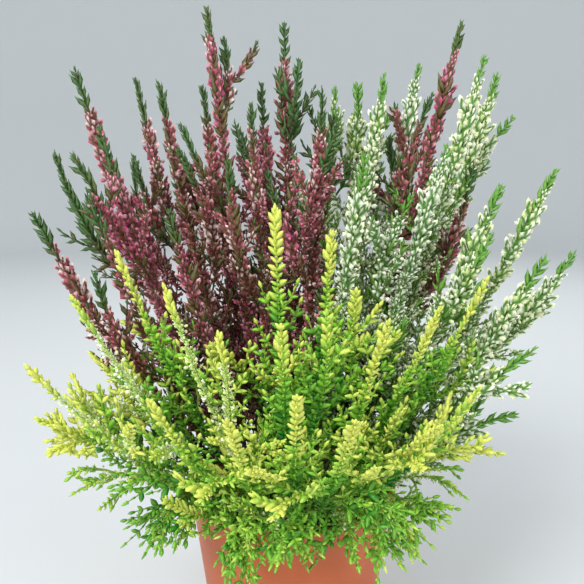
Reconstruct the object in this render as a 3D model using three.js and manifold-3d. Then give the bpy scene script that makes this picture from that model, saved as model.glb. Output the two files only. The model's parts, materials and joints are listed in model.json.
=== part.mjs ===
// A potted heather: three heathers of different colours grown together in one plastic plant pot.
// A purple heather stands at the back left, a white one at the back right, and a low lime-leaved one in
// front, with a few green shoots between them. Each leafy spray is one solid that stands in its own hole in
// the soil.
// Millimetres, +Z up. The origin is the middle of the pot's underside, and -Y is the front.
import * as THREE from "three";
import { mergeVertices } from "three/addons/utils/BufferGeometryUtils.js";
import Module from "manifold-3d";

const wasm = await Module();
wasm.setup();
const { clamp, lerp, radToDeg, smoothstep } = THREE.MathUtils;

// Driving dimensions of the pot and the soil
const POT_HEIGHT = 115;
const POT_TOP_RADIUS = 65;
const POT_BASE_RADIUS = 50;
const POT_SIDES = 40;
const WALL = 1.8;
const BASE_EDGE = 1.5;
const RIM_WIDTH = 3;
const RIM_HEIGHT = 6;
const RIM_EDGE = 0.8;
const DRAIN_RADIUS = 4.5;
const DRAIN_CIRCLE = 32;
const DRAINS = 6;
const SOIL_LEVEL = POT_HEIGHT - 8;
const SOIL_SLOPE = 2.5;
const SOIL_FLAT_RADIUS = 48;
const SOIL_SIDES = 32;
const GAP = 0.3;

// Driving dimensions of the stems. They leave the soil inside the crown, and fan out from a point under it:
// where a stem leans out furthest it stands nearest to the wall. The front ones lean out further.
const STEM_DEPTH = 12;
const STEM_RADIUS = 1.5;
const TWIG_RADIUS = 0.8;
const BARE_STEM = 14;
const CROWN_RADIUS = 41;
const CROWN_SPACING = 6.5;
const SPREAD_PASSES = 40;
const FAN_DEPTH = 55;
const MIDDLE_LEAN = 53;
const FRONT_EXTRA_LEAN = 13;
const BEND_OUT = 0.58; // where a stem's line bends, as a share of the way out and of the way up
const BEND_UP = 0.42;
const RIM_CLEARANCE = [14, 30]; // how far a spray passes above the rim: a low one, and a high one
const RIM_TIPS = [105, 165]; // the height of the tip of such a low spray, and of a high one

// Driving dimensions of the forks and side branches
const BRANCH_RADIUS = 1.1;
const BRANCH_SLANT = 0.9; // how far a branch heads sideways as it leaves its stem, against along it
const BRANCH_BEND = 0.42;
const FORK_REACH = 25; // a fork is at least this long, and the longer, the further apart the two tips stand
const FORK_SLOPE = 2.2;
const FORK_PLACES = [0.3, 0.85]; // the lowest and highest place of a fork, as a share of its stem's length
const SIDE_PLACES = [0.3, 0.85]; // the same for the side branches
const SIDE_REACH = [16, 70]; // the length of a side branch: the part that all have, and the most
const SIDE_SHARE = 0.5; // its further length, as a share of the stem beyond it
const BRANCH_ROOM = 6; // a side branch grows only where it stays this far from every other spray
const OWN_ROOM = 5; // and this far from its own spray, past its joint
const SPIKE = 60; // a tall stem ends in a spike: no side branch comes this near its tip
const SPIKE_TIPS = [150, 240]; // the height of the tip of a stem without such a spike, and with all of it
const JOINT_POINTS = 4; // the points of a branch's path that lie in its joint
const PATH_STEP = 3;

// Driving dimensions of the short shoots along every stem and branch
const SHOOT_FORWARD = 0.85; // how far a shoot points forwards, as a share of the step to the next pair
const SHOOT_TURN = 0.6; // how far a pair is turned out of line, in radians
const SHOOT_SHORTEST = 0.5; // the shortest shoot, as a share of the longest
const SHOOT_GROWTH = [30, 18]; // the length over which shoots grow to full size, on a stem and on a branch
const TIP_TAPER = 14;
const NEIGHBOUR_GAP = 0.5;

// One kind of heather: its colour, how wide its spray is in leaf or flower, how long and how wide its narrow
// tip is, how far apart its pairs of shoots stand near the tip and low down, how many side branches are tried
// on a stem, and how far they spread.
function kind(color, width, tip, tipWidth, step, lowStep, branches, spread) {
  return { color, width, tip, tipWidth, step, lowStep, branches, spread };
}
const KINDS = {
  purple: kind(0x7c3a48, 8, 55, 4.4, 8.5, 30, 2, 0.5),
  white: kind(0xd9e2b0, 8, 40, 4.6, 8.5, 30, 2, 0.55),
  lime: kind(0xa6cc33, 9.2, 30, 5.5, 7.5, 15, 12, 1),
  green: kind(0x3f7a2e, 8, 35, 4.6, 8, 15, 8, 1),
};

// The tips of the sprays, as x, y, z. A second or third point is the tip of a fork of the same stem.
const SPRAYS = {
  purple: [
    [[-53, 40, 410], [-44, 50, 394]],
    [[-5, 55, 404], [4, 44, 380]],
    [[-21, 75, 368], [-42, 108, 345]],
    [[-26, 25, 350], [-38, 0, 315]],
    [[-61, 70, 366], [-84, 62, 337]],
    [[-104, 60, 370], [-114, 88, 320], [-118, 40, 312]],
    [[-84, 35, 364], [-68, 10, 323]],
    [[-132, 20, 371], [-152, 34, 320]],
    [[-112, -5, 334], [-120, -28, 318]],
    [[-70, -22, 287]],
    [[-108, -45, 294], [-104, -56, 256]],
    [[19, 30, 359], [12, 52, 350], [26, 0, 334]],
    [[104, 30, 399], [92, 54, 360], [114, 24, 312]],
    [[-150, -14, 285]],
    [[-90, 110, 315], [-66, 132, 270]],
    [[0, 120, 330]],
  ],
  white: [
    [[30, 75, 366], [43, 54, 366]],
    [[58, 35, 369], [70, 70, 352]],
    [[84, 60, 379]],
    [[114, 10, 376]],
    [[134, 52, 372], [152, 74, 346]],
    [[41, -20, 318]],
    [[89, -10, 324], [67, -26, 296]],
    [[117, -25, 301], [107, -46, 275]],
    [[140, -36, 262], [130, -54, 215]],
    [[130, -30, 170]],
    [[160, 10, 310], [166, -12, 262]],
    [[60, 115, 340], [104, 106, 315], [26, 128, 298]],
    [[140, 82, 268], [152, 40, 222]],
    [[80, 134, 258]],
  ],
  lime: [
    [[-9, -50, 291]],
    [[21, -60, 278], [34, -58, 248]],
    [[-64, -75, 253], [-37, -78, 229]],
    [[-91, -60, 268]],
    [[-107, -85, 249]],
    [[-126, -98, 218]],
    [[-137, -60, 178]],
    [[-116, -72, 142]],
    [[-5, -105, 239], [17, -88, 242]],
    [[46, -95, 239]],
    [[73, -80, 242]],
    [[99, -70, 256]],
    [[88, -104, 209], [66, -118, 196]],
    [[92, -72, 140], [94, -48, 120]],
    [[64, -96, 120]],
    [[34, -93, 112]],
    [[-34, -93, 106]],
    [[-66, -110, 205], [-62, -98, 150]],
    [[-28, -130, 203], [-18, -134, 182]],
    [[2, -140, 217]],
    [[27, -134, 204], [38, -122, 178]],
    [[-10, -104, 122]],
    [[48, -90, 110]],
    [[-62, -78, 114]],
    [[-76, -72, 116]],
  ],
  green: [
    [[104, 0, 134]],
    [[-114, -18, 160]],
    [[2, 126, 190], [62, 118, 192]],
  ],
};

// The line of one stem, from its hole in the soil to its tip

function crownPoint(tip) {
  const reach = Math.hypot(tip.x, tip.y);
  const lean = radToDeg(Math.atan2(reach, tip.z - SOIL_LEVEL + FAN_DEPTH));
  const mostLean = MIDDLE_LEAN - (FRONT_EXTRA_LEAN * tip.y) / reach;
  const radius = CROWN_RADIUS * Math.min(1, lean / mostLean);
  return new THREE.Vector3((tip.x / reach) * radius, (tip.y / reach) * radius, SOIL_LEVEL - STEM_DEPTH);
}

// Stems that would stand too close together in the soil are pushed apart, a little at a time.
function spreadCrowns(crowns) {
  for (let pass = 0; pass < SPREAD_PASSES; pass++) {
    crowns.forEach((one, i) => {
      for (const other of crowns.slice(i + 1)) {
        const apart = one.clone().sub(other);
        const short = CROWN_SPACING - apart.length();
        if (short <= 0) continue;
        apart.setLength(short / 2);
        one.add(apart);
        other.sub(apart);
      }
    });
  }
}

// The stem first leans outwards and then turns up, and one that hangs over the rim rises above it on the way.
function stemLine(root, tip) {
  const bend = new THREE.Vector3().lerpVectors(root, tip, BEND_OUT);
  bend.z = lerp(root.z, tip.z, BEND_UP);
  if (Math.hypot(tip.x, tip.y) > POT_TOP_RADIUS) {
    const clear = lerp(...RIM_CLEARANCE, smoothstep(tip.z, ...RIM_TIPS));
    bend.z = Math.max(bend.z, 2 * (POT_HEIGHT + clear) - (root.z + tip.z) / 2);
  }
  return new THREE.QuadraticBezierCurve3(root, bend, tip);
}

// A number from 0 to 1 that is always the same for the same two whole numbers
function chance(first, second) {
  let seed = 7919 * first + 104729 * second + 1;
  for (let i = 0; i < 3; i++) seed = (seed * 48271) % 2147483647;
  return seed / 2147483647;
}

// The places of a limb's rings along its line: a long step on the bare stem and low down, and a shorter one
// where pairs of shoots stand. The last step ends at the tip.
function ringPlaces({ step, lowStep }, length, bare) {
  const places = bare > 0 ? [0, bare] : [0];
  let at = bare;
  while (at < length - step) {
    const low = bare > 0 ? 1 - smoothstep(at / length, 0.2, 0.55) : 0;
    at += lerp(step, lowStep, low);
    places.push(at);
  }
  const fit = (length - bare) / (places.pop() - bare);
  return places.map((place) => (place < bare ? place : bare + (place - bare) * fit));
}

// One limb is a stem or a branch. Each of its rings has four corners that turn about the line, the first of
// them towards `side`.
function makeLimb(name, line, bare, side, parent = null) {
  const length = line.getLength();
  const places = ringPlaces(KINDS[name], length, bare);
  const rings = places.map((place, i) => {
    const along = line.getTangentAt(place / length);
    const square = side.clone().addScaledVector(along, -side.dot(along)).normalize();
    const turn = i > 1 ? SHOOT_TURN * (chance(i, Math.round(length)) - 0.5) : 0;
    return {
      place,
      step: (places[i + 1] ?? length) - place,
      centre: line.getPointAt(place / length),
      along,
      side: square.applyAxisAngle(along, turn),
      core: lerp(parent ? BRANCH_RADIUS : STEM_RADIUS, TWIG_RADIUS, place / length),
    };
  });
  const path = line.getSpacedPoints(Math.ceil(length / PATH_STEP));
  return { name, line, bare, length, rings, path, parent, taken: new Set() };
}

function cornerWay(ring, corner) {
  return ring.side.clone().applyAxisAngle(ring.along, (corner * Math.PI) / 2);
}

// The corners around a corner, by their number in the limb: four to a ring
function aroundCorner(i, corner) {
  const [left, right] = [(corner + 3) % 4, (corner + 1) % 4];
  return [4 * i + corner, 4 * (i - 1) + left, 4 * (i - 1) + right, 4 * (i + 1) + left, 4 * (i + 1) + right];
}

// A branch takes the place of one shoot of its stem: the one near the wanted height that points best towards
// the branch's own tip. It leaves at a slant and then turns towards that tip.
function makeBranch(stem, wanted, tip) {
  let best = { score: -Infinity };
  stem.rings.forEach((ring, i) => {
    const off = Math.abs(ring.place - wanted * stem.length) / ring.step;
    if (i < 2 || i > stem.rings.length - 3 || off > 3) return;
    for (let corner = (i + 1) % 2; corner < 4; corner += 2) {
      if (aroundCorner(i, corner).some((number) => stem.taken.has(number))) continue;
      const way = cornerWay(ring, corner);
      const score = way.dot(tip.clone().sub(ring.centre).normalize()) - 0.2 * off;
      if (score > best.score) best = { score, ring, i, corner, way };
    }
  });
  if (!best.ring) return null;
  const start = best.ring.centre.clone().addScaledVector(best.way, best.ring.core);
  const leave = best.ring.along.clone().addScaledVector(best.way, BRANCH_SLANT).normalize();
  const bend = start.clone().addScaledVector(leave, BRANCH_BEND * start.distanceTo(tip));
  const line = new THREE.QuadraticBezierCurve3(start, bend, tip);
  const down = best.ring.along.clone().negate();
  return makeLimb(stem.name, line, 0, down, { limb: stem, i: best.i, corner: best.corner });
}

function addBranch(spray, branch) {
  branch.parent.limb.taken.add(4 * branch.parent.i + branch.parent.corner);
  spray.limbs.push(branch);
}

// All the sprays, each with its stem and its forks. The further apart two tips stand, the lower their fork.

const sprays = Object.entries(SPRAYS).flatMap(([name, all]) =>
  all.map((tips, i) => ({
    name,
    node: `${name}_spray_${String(i + 1).padStart(2, "0")}`,
    tips: tips.map((tip) => new THREE.Vector3(...tip)),
  })),
);
const crowns = sprays.map(({ tips }) => crownPoint(tips[0]));
spreadCrowns(crowns);
sprays.forEach((spray, i) => {
  const [main, ...others] = spray.tips;
  const side = new THREE.Vector3(-main.y, main.x, 0).normalize();
  const stem = makeLimb(spray.name, stemLine(crowns[i], main), STEM_DEPTH + BARE_STEM, side);
  spray.limbs = [stem];
  for (const tip of others) {
    const reach = FORK_REACH + FORK_SLOPE * tip.distanceTo(main);
    addBranch(spray, makeBranch(stem, clamp(1 - reach / stem.length, ...FORK_PLACES), tip));
  }
});

// The side branches of a stem turn off left and right in turn, mostly in the flat plane of the spray, and get
// shorter towards the tip.
function sideBranch(stem, sprayNumber, branchNumber) {
  const { branches, spread } = KINDS[stem.name];
  const place = lerp(...SIDE_PLACES, branchNumber / branches);
  const along = stem.line.getTangentAt(place);
  const level = new THREE.Vector3(-along.y, along.x, 0).normalize();
  const away = new THREE.Vector3().crossVectors(along, level);
  const turn = (branchNumber % 2 ? 1 : -1) * (0.5 + 0.5 * chance(sprayNumber, branchNumber));
  const lift = 1.2 * (chance(branchNumber + 50, sprayNumber) - 0.5);
  const [least, most] = SIDE_REACH;
  const reach = Math.min(most, least + SIDE_SHARE * (1 - place) * stem.length);
  along.addScaledVector(level, spread * turn).addScaledVector(away, spread * lift).normalize();
  return makeBranch(stem, place, stem.line.getPointAt(place).addScaledVector(along, reach));
}

// Distance from a point to the pot's rim, and inside the rim to the soil too
function clearOfPot(point) {
  const outside = Math.hypot(point.x, point.y) - POT_TOP_RADIUS;
  const rim = Math.hypot(outside, Math.max(0, point.z - POT_HEIGHT)) - RIM_WIDTH;
  return outside > 0 ? rim : Math.min(rim, point.z - SOIL_LEVEL);
}

function farApart(onePath, otherPath, room) {
  return onePath.every((one) => otherPath.every((other) => one.distanceTo(other) > room));
}

function hasRoom(spray, branch) {
  const tip = spray.tips[0];
  if (branch.line.v2.distanceTo(tip) < SPIKE * smoothstep(tip.z, ...SPIKE_TIPS)) return false;
  if (branch.path.some((point) => clearOfPot(point) < BRANCH_ROOM)) return false;
  const free = branch.path.slice(JOINT_POINTS);
  return sprays.every(({ limbs }) =>
    limbs.every(({ path }) =>
      limbs === spray.limbs ? farApart(path, free, OWN_ROOM) : farApart(path, branch.path, BRANCH_ROOM),
    ),
  );
}

// Side branches are added one round at a time, each only where it stays clear of everything else.
const rounds = Math.max(...Object.values(KINDS).map(({ branches }) => branches));
for (let round = 0; round < rounds; round++) {
  sprays.forEach((spray, i) => {
    if (round >= KINDS[spray.name].branches) return;
    const branch = sideBranch(spray.limbs[0], i, round);
    if (branch && hasRoom(spray, branch)) addBranch(spray, branch);
  });
}

// The half width of a limb at one of its rings, before its neighbours narrow it
function fullWidth({ name, bare, length, parent }, place) {
  const { width, tip, tipWidth } = KINDS[name];
  const [onStem, onBranch] = SHOOT_GROWTH;
  const grown = parent ? smoothstep(place, 3, onBranch) : smoothstep(place, bare, bare + onStem);
  const left = length - place;
  const narrow = lerp(tipWidth, width, smoothstep(left, 0.6 * tip, tip));
  return grown * narrow * smoothstep(left, -4, TIP_TAPER);
}

// Half the distance to the nearest other limb, and less beside the pot's rim or the soil
function roomAt(limb, point) {
  let room = clearOfPot(point);
  for (const other of sprays.flatMap(({ limbs }) => limbs)) {
    if (other === limb) continue;
    const points = other.parent?.limb === limb ? other.path.slice(JOINT_POINTS) : other.path;
    for (const near of points) room = Math.min(room, near.distanceTo(point) / 2);
  }
  return room - NEIGHBOUR_GAP;
}

for (const limb of sprays.flatMap(({ limbs }) => limbs)) {
  for (const ring of limb.rings) {
    const wanted = fullWidth(limb, ring.place);
    ring.forward = SHOOT_FORWARD * ring.step * Math.min(1, wanted / 5);
    const ahead = ring.centre.clone().addScaledVector(ring.along, ring.forward);
    ring.width = Math.min(wanted, roomAt(limb, ring.centre), roomAt(limb, ahead));
  }
}

// The surface of a spray. The corners of the rings alternate: every second one is drawn out and forwards into
// a shoot, so that pairs of shoots stand crosswise to the next pair, as on heather.

function ringCorners(ring, i, seed, extra) {
  return [0, 1, 2, 3].map((corner) => {
    const shoot = (i + corner) % 2 === 1 && ring.width > ring.core;
    const long = lerp(SHOOT_SHORTEST, 1, chance(4 * i + corner, seed));
    const radius = shoot ? Math.max(ring.core, ring.width * long) : ring.core;
    const forward = shoot ? ring.forward * lerp(0.3, 1, chance(seed, 4 * i + corner + 9)) : 0;
    return ring.centre
      .clone()
      .addScaledVector(cornerWay(ring, corner), radius + extra)
      .addScaledVector(ring.along, i === 0 ? -extra : forward);
  });
}

// A branch grows out of the four corners around the shoot that it replaces.
function jointCorners({ limb, i, corner }) {
  const [below, beside, above] = limb.corners.slice(i - 1, i + 2);
  return [below[corner], beside[(corner + 1) % 4], above[corner], beside[(corner + 3) % 4]];
}

// Each four-sided patch between two rings is cut along the line that joins its two inner corners, so that
// every shoot is a pyramid. The shoots that branches replace are left open for them.
function patchFaces({ corners, taken }, i, j) {
  const k = (j + 1) % 4;
  const [a, b, c, d] = [corners[i][j], corners[i][k], corners[i + 1][k], corners[i + 1][j]];
  const lower = (i + j) % 2 ? { shoot: 4 * i + j, face: [a, b, d] } : { shoot: 4 * i + k, face: [a, b, c] };
  const above = 4 * (i + 1);
  const upper = (i + j) % 2 ? { shoot: above + k, face: [b, c, d] } : { shoot: above + j, face: [a, c, d] };
  return [lower, upper].filter(({ shoot }) => !taken.has(shoot)).flatMap(({ face }) => face);
}

function sprayGeometry(limbs, seed, extra = 0) {
  const points = [];
  const faces = [];
  limbs.forEach((limb, number) => {
    limb.corners = limb.rings.map((ring, i) => {
      if (i === 0 && limb.parent) return jointCorners(limb.parent);
      return ringCorners(ring, i, seed + number, extra).map((point) => points.push(point) - 1);
    });
    const first = limb.corners[0];
    const last = limb.corners.at(-1);
    const end = points.push(limb.end ?? limb.line.v2) - 1;
    for (let i = 0; i + 1 < limb.corners.length; i++)
      for (let j = 0; j < 4; j++) faces.push(...patchFaces(limb, i, j));
    for (let j = 0; j < 4; j++) faces.push(last[j], last[(j + 1) % 4], end);
    if (!limb.parent) faces.push(first[2], first[1], first[0], first[3], first[2], first[0]);
  });
  return new THREE.BufferGeometry().setFromPoints(points).setIndex(faces);
}

// Between three.js geometry and manifold-3d solids

function toSolid(geometry) {
  const bare = geometry.index ? geometry.toNonIndexed() : geometry.clone();
  bare.deleteAttribute("normal");
  bare.deleteAttribute("uv");
  const merged = mergeVertices(bare, 1e-4);
  return new wasm.Manifold(
    new wasm.Mesh({
      numProp: 3,
      vertProperties: merged.attributes.position.array,
      triVerts: new Uint32Array(merged.index.array),
    }),
  );
}

function toGeometry(solid) {
  const mesh = solid.getMesh();
  const geometry = new THREE.BufferGeometry();
  geometry.setAttribute("position", new THREE.BufferAttribute(mesh.vertProperties, 3));
  geometry.setIndex(new THREE.BufferAttribute(mesh.triVerts, 1));
  geometry.computeVertexNormals();
  return geometry;
}

function turned(outline, sides) {
  const points = outline.map(([radius, z]) => new THREE.Vector2(radius, z));
  return new THREE.LatheGeometry(points, sides).rotateX(Math.PI / 2);
}

// The pot: a thin tapered wall with a turned-out rim, and drainage holes in its flat base

function potWallRadius(z) {
  return lerp(POT_BASE_RADIUS, POT_TOP_RADIUS, z / POT_HEIGHT);
}

function potGeometry() {
  const rimFoot = POT_HEIGHT - RIM_HEIGHT;
  const rimRadius = POT_TOP_RADIUS - WALL + RIM_WIDTH;
  const outline = [
    [0, 0],
    [POT_BASE_RADIUS - BASE_EDGE, 0],
    [POT_BASE_RADIUS, BASE_EDGE],
    [potWallRadius(rimFoot), rimFoot],
    [rimRadius - RIM_EDGE, rimFoot],
    [rimRadius, rimFoot + RIM_EDGE],
    [rimRadius, POT_HEIGHT - RIM_EDGE],
    [rimRadius - RIM_EDGE, POT_HEIGHT],
    [POT_TOP_RADIUS - WALL, POT_HEIGHT],
    [potWallRadius(WALL) - WALL, WALL],
    [0, WALL],
  ];
  let pot = toSolid(turned(outline, POT_SIDES));
  for (let i = 0; i < DRAINS; i++) {
    const turn = ((i + 0.5) * 2 * Math.PI) / DRAINS;
    const drain = new THREE.CylinderGeometry(DRAIN_RADIUS, DRAIN_RADIUS, 4 * WALL, 10);
    drain.rotateX(Math.PI / 2);
    drain.translate(DRAIN_CIRCLE * Math.cos(turn), DRAIN_CIRCLE * Math.sin(turn), 0);
    pot = pot.subtract(toSolid(drain));
  }
  return toGeometry(pot);
}

// The soil: a tapered plug, flat where the stems stand and sloping down to the wall, with a hole for each
// stem. A hole is the foot of its stem, made a little larger all round and ended above the soil.
function soilGeometry() {
  const bottom = WALL + GAP;
  const edge = SOIL_LEVEL - SOIL_SLOPE;
  const outline = [
    [0, bottom],
    [potWallRadius(bottom) - WALL - GAP, bottom],
    [potWallRadius(edge) - WALL - GAP, edge],
    [SOIL_FLAT_RADIUS, SOIL_LEVEL],
    [0, SOIL_LEVEL],
  ];
  let soil = toSolid(turned(outline, SOIL_SIDES));
  for (const { limbs } of sprays) {
    const foot = limbs[0].rings.slice(0, 2);
    const end = foot[1].centre.clone().add(foot[1].along);
    const hole = { rings: foot, end, taken: new Set() };
    soil = soil.subtract(toSolid(sprayGeometry([hole], 0, GAP * Math.SQRT2)));
  }
  return toGeometry(soil);
}

// The whole object

function named(name, geometry, color, roughness) {
  const material = new THREE.MeshStandardMaterial({ color, roughness, metalness: 0 });
  const mesh = new THREE.Mesh(geometry, material);
  mesh.name = name;
  return mesh;
}

const heather = new THREE.Group();
heather.add(named("pot", potGeometry(), 0xc4673f, 0.5));
heather.add(named("soil", soilGeometry(), 0x2b1d14, 0.95));
sprays.forEach(({ name, node, limbs }, i) => {
  const geometry = toGeometry(toSolid(sprayGeometry(limbs, 10 * i)));
  heather.add(named(node, geometry, KINDS[name].color, 0.7));
});

export default heather;
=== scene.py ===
# %% [markdown]
# # A potted heather
# Three heathers share one plastic pot: a magenta one at the back left, a white one at the back right and a
# lime-leaved one that mounds over the front. The CAD model gives the pot, the soil and 58 coarse sprays. This
# lesson dresses them. It repeats the rule that drew the stems of each spray, then lets Geometry Nodes grow
# bark, leafy shoots and flowers along them.

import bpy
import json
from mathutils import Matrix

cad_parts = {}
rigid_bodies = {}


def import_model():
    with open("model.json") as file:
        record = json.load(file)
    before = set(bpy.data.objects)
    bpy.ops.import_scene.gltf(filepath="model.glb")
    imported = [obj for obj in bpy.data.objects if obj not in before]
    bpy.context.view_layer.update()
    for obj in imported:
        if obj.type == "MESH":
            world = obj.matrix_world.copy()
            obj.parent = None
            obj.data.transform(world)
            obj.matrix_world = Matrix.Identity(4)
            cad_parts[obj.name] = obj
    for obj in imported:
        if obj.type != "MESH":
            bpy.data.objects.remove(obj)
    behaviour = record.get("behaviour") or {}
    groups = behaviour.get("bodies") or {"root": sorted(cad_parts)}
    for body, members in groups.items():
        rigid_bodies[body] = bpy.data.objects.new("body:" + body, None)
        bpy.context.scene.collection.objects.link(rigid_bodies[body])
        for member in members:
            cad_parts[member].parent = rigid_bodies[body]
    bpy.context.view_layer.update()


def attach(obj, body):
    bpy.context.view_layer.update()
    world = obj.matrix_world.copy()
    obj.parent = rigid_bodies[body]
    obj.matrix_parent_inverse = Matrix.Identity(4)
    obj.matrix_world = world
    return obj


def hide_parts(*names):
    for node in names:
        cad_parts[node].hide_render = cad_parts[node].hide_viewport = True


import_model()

# %% [markdown]
# Everything below is measured in millimetres while the stems are worked out, as a grower would, and becomes
# metres only when it is handed to Blender. A few one-line helpers keep the later cells readable. The one for
# chance gives the same numbers as the CAD source does. Its second number only tells one use from another.

# %% Helpers for numbers and directions
import json
import math

import bmesh
import bpy
import numpy as np
from mathutils import Vector

MM = 0.001
QUARTER_TURN = math.pi / 2


def lerp(start, end, share):
    return start + (end - start) * share


def smoothstep(value, low, high):
    share = np.clip((value - low) / (high - low), 0.0, 1.0)
    return share * share * (3 - 2 * share)


def unit(vector):
    return vector / np.linalg.norm(vector)


def turned(vector, axis, angle):
    """A vector that is square to an axis, turned about that axis."""
    return vector * math.cos(angle) + np.cross(axis, vector) * math.sin(angle)


def chance(first, second):
    """A number from 0 to 1 that is always the same for the same two whole numbers."""
    seed = 7919 * first + 104729 * second + 1
    for _ in range(3):
        seed = seed * 48271 % 2147483647
    return seed / 2147483647


print("chance(1, 2) is", round(chance(1, 2), 4))

# %% [markdown]
# The sprays are known by their tips. The first point of each is the tip of its stem, and the others are the
# tips of forks. They are the same numbers that the CAD source uses, so a dressed spray stands exactly where
# its plain solid does. Reading positions back from the solids would be possible too, but their pyramids don't
# say which way a stem runs.

# %% The tips of the sprays
SPRAYS = {
    "purple": [
        [(-53, 40, 410), (-44, 50, 394)],
        [(-5, 55, 404), (4, 44, 380)],
        [(-21, 75, 368), (-42, 108, 345)],
        [(-26, 25, 350), (-38, 0, 315)],
        [(-61, 70, 366), (-84, 62, 337)],
        [(-104, 60, 370), (-114, 88, 320), (-118, 40, 312)],
        [(-84, 35, 364), (-68, 10, 323)],
        [(-132, 20, 371), (-152, 34, 320)],
        [(-112, -5, 334), (-120, -28, 318)],
        [(-70, -22, 287)],
        [(-108, -45, 294), (-104, -56, 256)],
        [(19, 30, 359), (12, 52, 350), (26, 0, 334)],
        [(104, 30, 399), (92, 54, 360), (114, 24, 312)],
        [(-150, -14, 285)],
        [(-90, 110, 315), (-66, 132, 270)],
        [(0, 120, 330)],
    ],
    "white": [
        [(30, 75, 366), (43, 54, 366)],
        [(58, 35, 369), (70, 70, 352)],
        [(84, 60, 379)],
        [(114, 10, 376)],
        [(134, 52, 372), (152, 74, 346)],
        [(41, -20, 318)],
        [(89, -10, 324), (67, -26, 296)],
        [(117, -25, 301), (107, -46, 275)],
        [(140, -36, 262), (130, -54, 215)],
        [(130, -30, 170)],
        [(160, 10, 310), (166, -12, 262)],
        [(60, 115, 340), (104, 106, 315), (26, 128, 298)],
        [(140, 82, 268), (152, 40, 222)],
        [(80, 134, 258)],
    ],
    "lime": [
        [(-9, -50, 291)],
        [(21, -60, 278), (34, -58, 248)],
        [(-64, -75, 253), (-37, -78, 229)],
        [(-91, -60, 268)],
        [(-107, -85, 249)],
        [(-126, -98, 218)],
        [(-137, -60, 178)],
        [(-116, -72, 142)],
        [(-5, -105, 239), (17, -88, 242)],
        [(46, -95, 239)],
        [(73, -80, 242)],
        [(99, -70, 256)],
        [(88, -104, 209), (66, -118, 196)],
        [(92, -72, 140), (94, -48, 120)],
        [(64, -96, 120)],
        [(34, -93, 112)],
        [(-34, -93, 106)],
        [(-66, -110, 205), (-62, -98, 150)],
        [(-28, -130, 203), (-18, -134, 182)],
        [(2, -140, 217)],
        [(27, -134, 204), (38, -122, 178)],
        [(-10, -104, 122)],
        [(48, -90, 110)],
        [(-62, -78, 114)],
        [(-76, -72, 116)],
    ],
    "green": [
        [(104, 0, 134)],
        [(-114, -18, 160)],
        [(2, 126, 190), (62, 118, 192)],
    ],
}
print({name: len(tips) for name, tips in SPRAYS.items()})

# %% [markdown]
# Heather stems leave the soil close together and fan out, so each root lies inside the crown, further out
# the more its stem leans. Roots that would crowd each other are pushed apart a little at a time.

# %% Where the stems leave the soil
POT_HEIGHT = 115
POT_TOP_RADIUS = 65
SOIL_LEVEL = 107
STEM_DEPTH = 12
CROWN_RADIUS = 41
CROWN_SPACING = 6.5
FAN_DEPTH = 55
MIDDLE_LEAN = 53
FRONT_EXTRA_LEAN = 13


def crown_point(tip):
    reach = math.hypot(tip[0], tip[1])
    lean = math.degrees(math.atan2(reach, tip[2] - SOIL_LEVEL + FAN_DEPTH))
    most_lean = MIDDLE_LEAN - FRONT_EXTRA_LEAN * tip[1] / reach
    radius = CROWN_RADIUS * min(1, lean / most_lean)
    return np.array([tip[0] / reach * radius, tip[1] / reach * radius, SOIL_LEVEL - STEM_DEPTH])


def spread_crowns(crowns, passes=40):
    for _ in range(passes):
        for i, one in enumerate(crowns):
            for other in crowns[i + 1 :]:
                apart = one - other
                distance = np.linalg.norm(apart)
                if distance < CROWN_SPACING:
                    push = apart / distance * (CROWN_SPACING - distance) / 2
                    one += push
                    other -= push


sprays = [
    {"kind": kind, "node": f"{kind}_spray_{i + 1:02}", "tips": [np.array(tip, float) for tip in tips]}
    for kind, rows in SPRAYS.items()
    for i, tips in enumerate(rows)
]
crowns = [crown_point(spray["tips"][0]) for spray in sprays]
spread_crowns(crowns)
print("roots between", np.min(crowns, axis=0).round(1), "and", np.max(crowns, axis=0).round(1), "mm")

# %% [markdown]
# A stem first leans outwards and then turns up to the light. A quadratic Bezier curve does that with one
# control point. It is read by length, not by parameter, so that shoots keep their spacing round the bend.

# %% The line of a stem
BEND_OUT = 0.58  # where a stem's line bends, as a share of the way out and of the way up
BEND_UP = 0.42
RIM_CLEARANCE = (14, 30)  # how far a low spray and a high one pass above the rim
RIM_TIPS = (105, 165)  # the heights of the tips of two such sprays
MEASURED_POINTS = 201


class Line:
    def __init__(self, start, bend, end):
        self.start, self.bend, self.end = start, bend, end
        self.shares = np.linspace(0, 1, MEASURED_POINTS)
        steps = np.diff(self.at(self.shares), axis=0)
        self.reached = np.concatenate([[0], np.cumsum(np.linalg.norm(steps, axis=1))])
        self.length = self.reached[-1]

    def at(self, t):
        t = np.asarray(t, float)[..., None]
        return (1 - t) ** 2 * self.start + 2 * (1 - t) * t * self.bend + t * t * self.end

    def share(self, place):
        return np.interp(place, self.reached, self.shares)

    def point(self, place):
        return self.at(self.share(place))

    def along(self, place):
        t = self.share(place)
        return unit((1 - t) * (self.bend - self.start) + t * (self.end - self.bend))


def stem_line(root, tip):
    bend = lerp(root, tip, BEND_OUT)
    bend[2] = lerp(root[2], tip[2], BEND_UP)
    if math.hypot(tip[0], tip[1]) > POT_TOP_RADIUS:
        clear = lerp(*RIM_CLEARANCE, smoothstep(tip[2], *RIM_TIPS))
        bend[2] = max(bend[2], 2 * (POT_HEIGHT + clear) - (root[2] + tip[2]) / 2)
    return Line(root, bend, tip)


print("first stem:", round(stem_line(crowns[0], sprays[0]["tips"][0]).length), "mm long")

# %% [markdown]
# A limb is a stem or a branch. In the CAD model it carries rings of four corners, every second one drawn out
# into a shoot, and a branch takes the place of one such shoot. Only the rings' places are needed here, to
# find the same joints.

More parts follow.
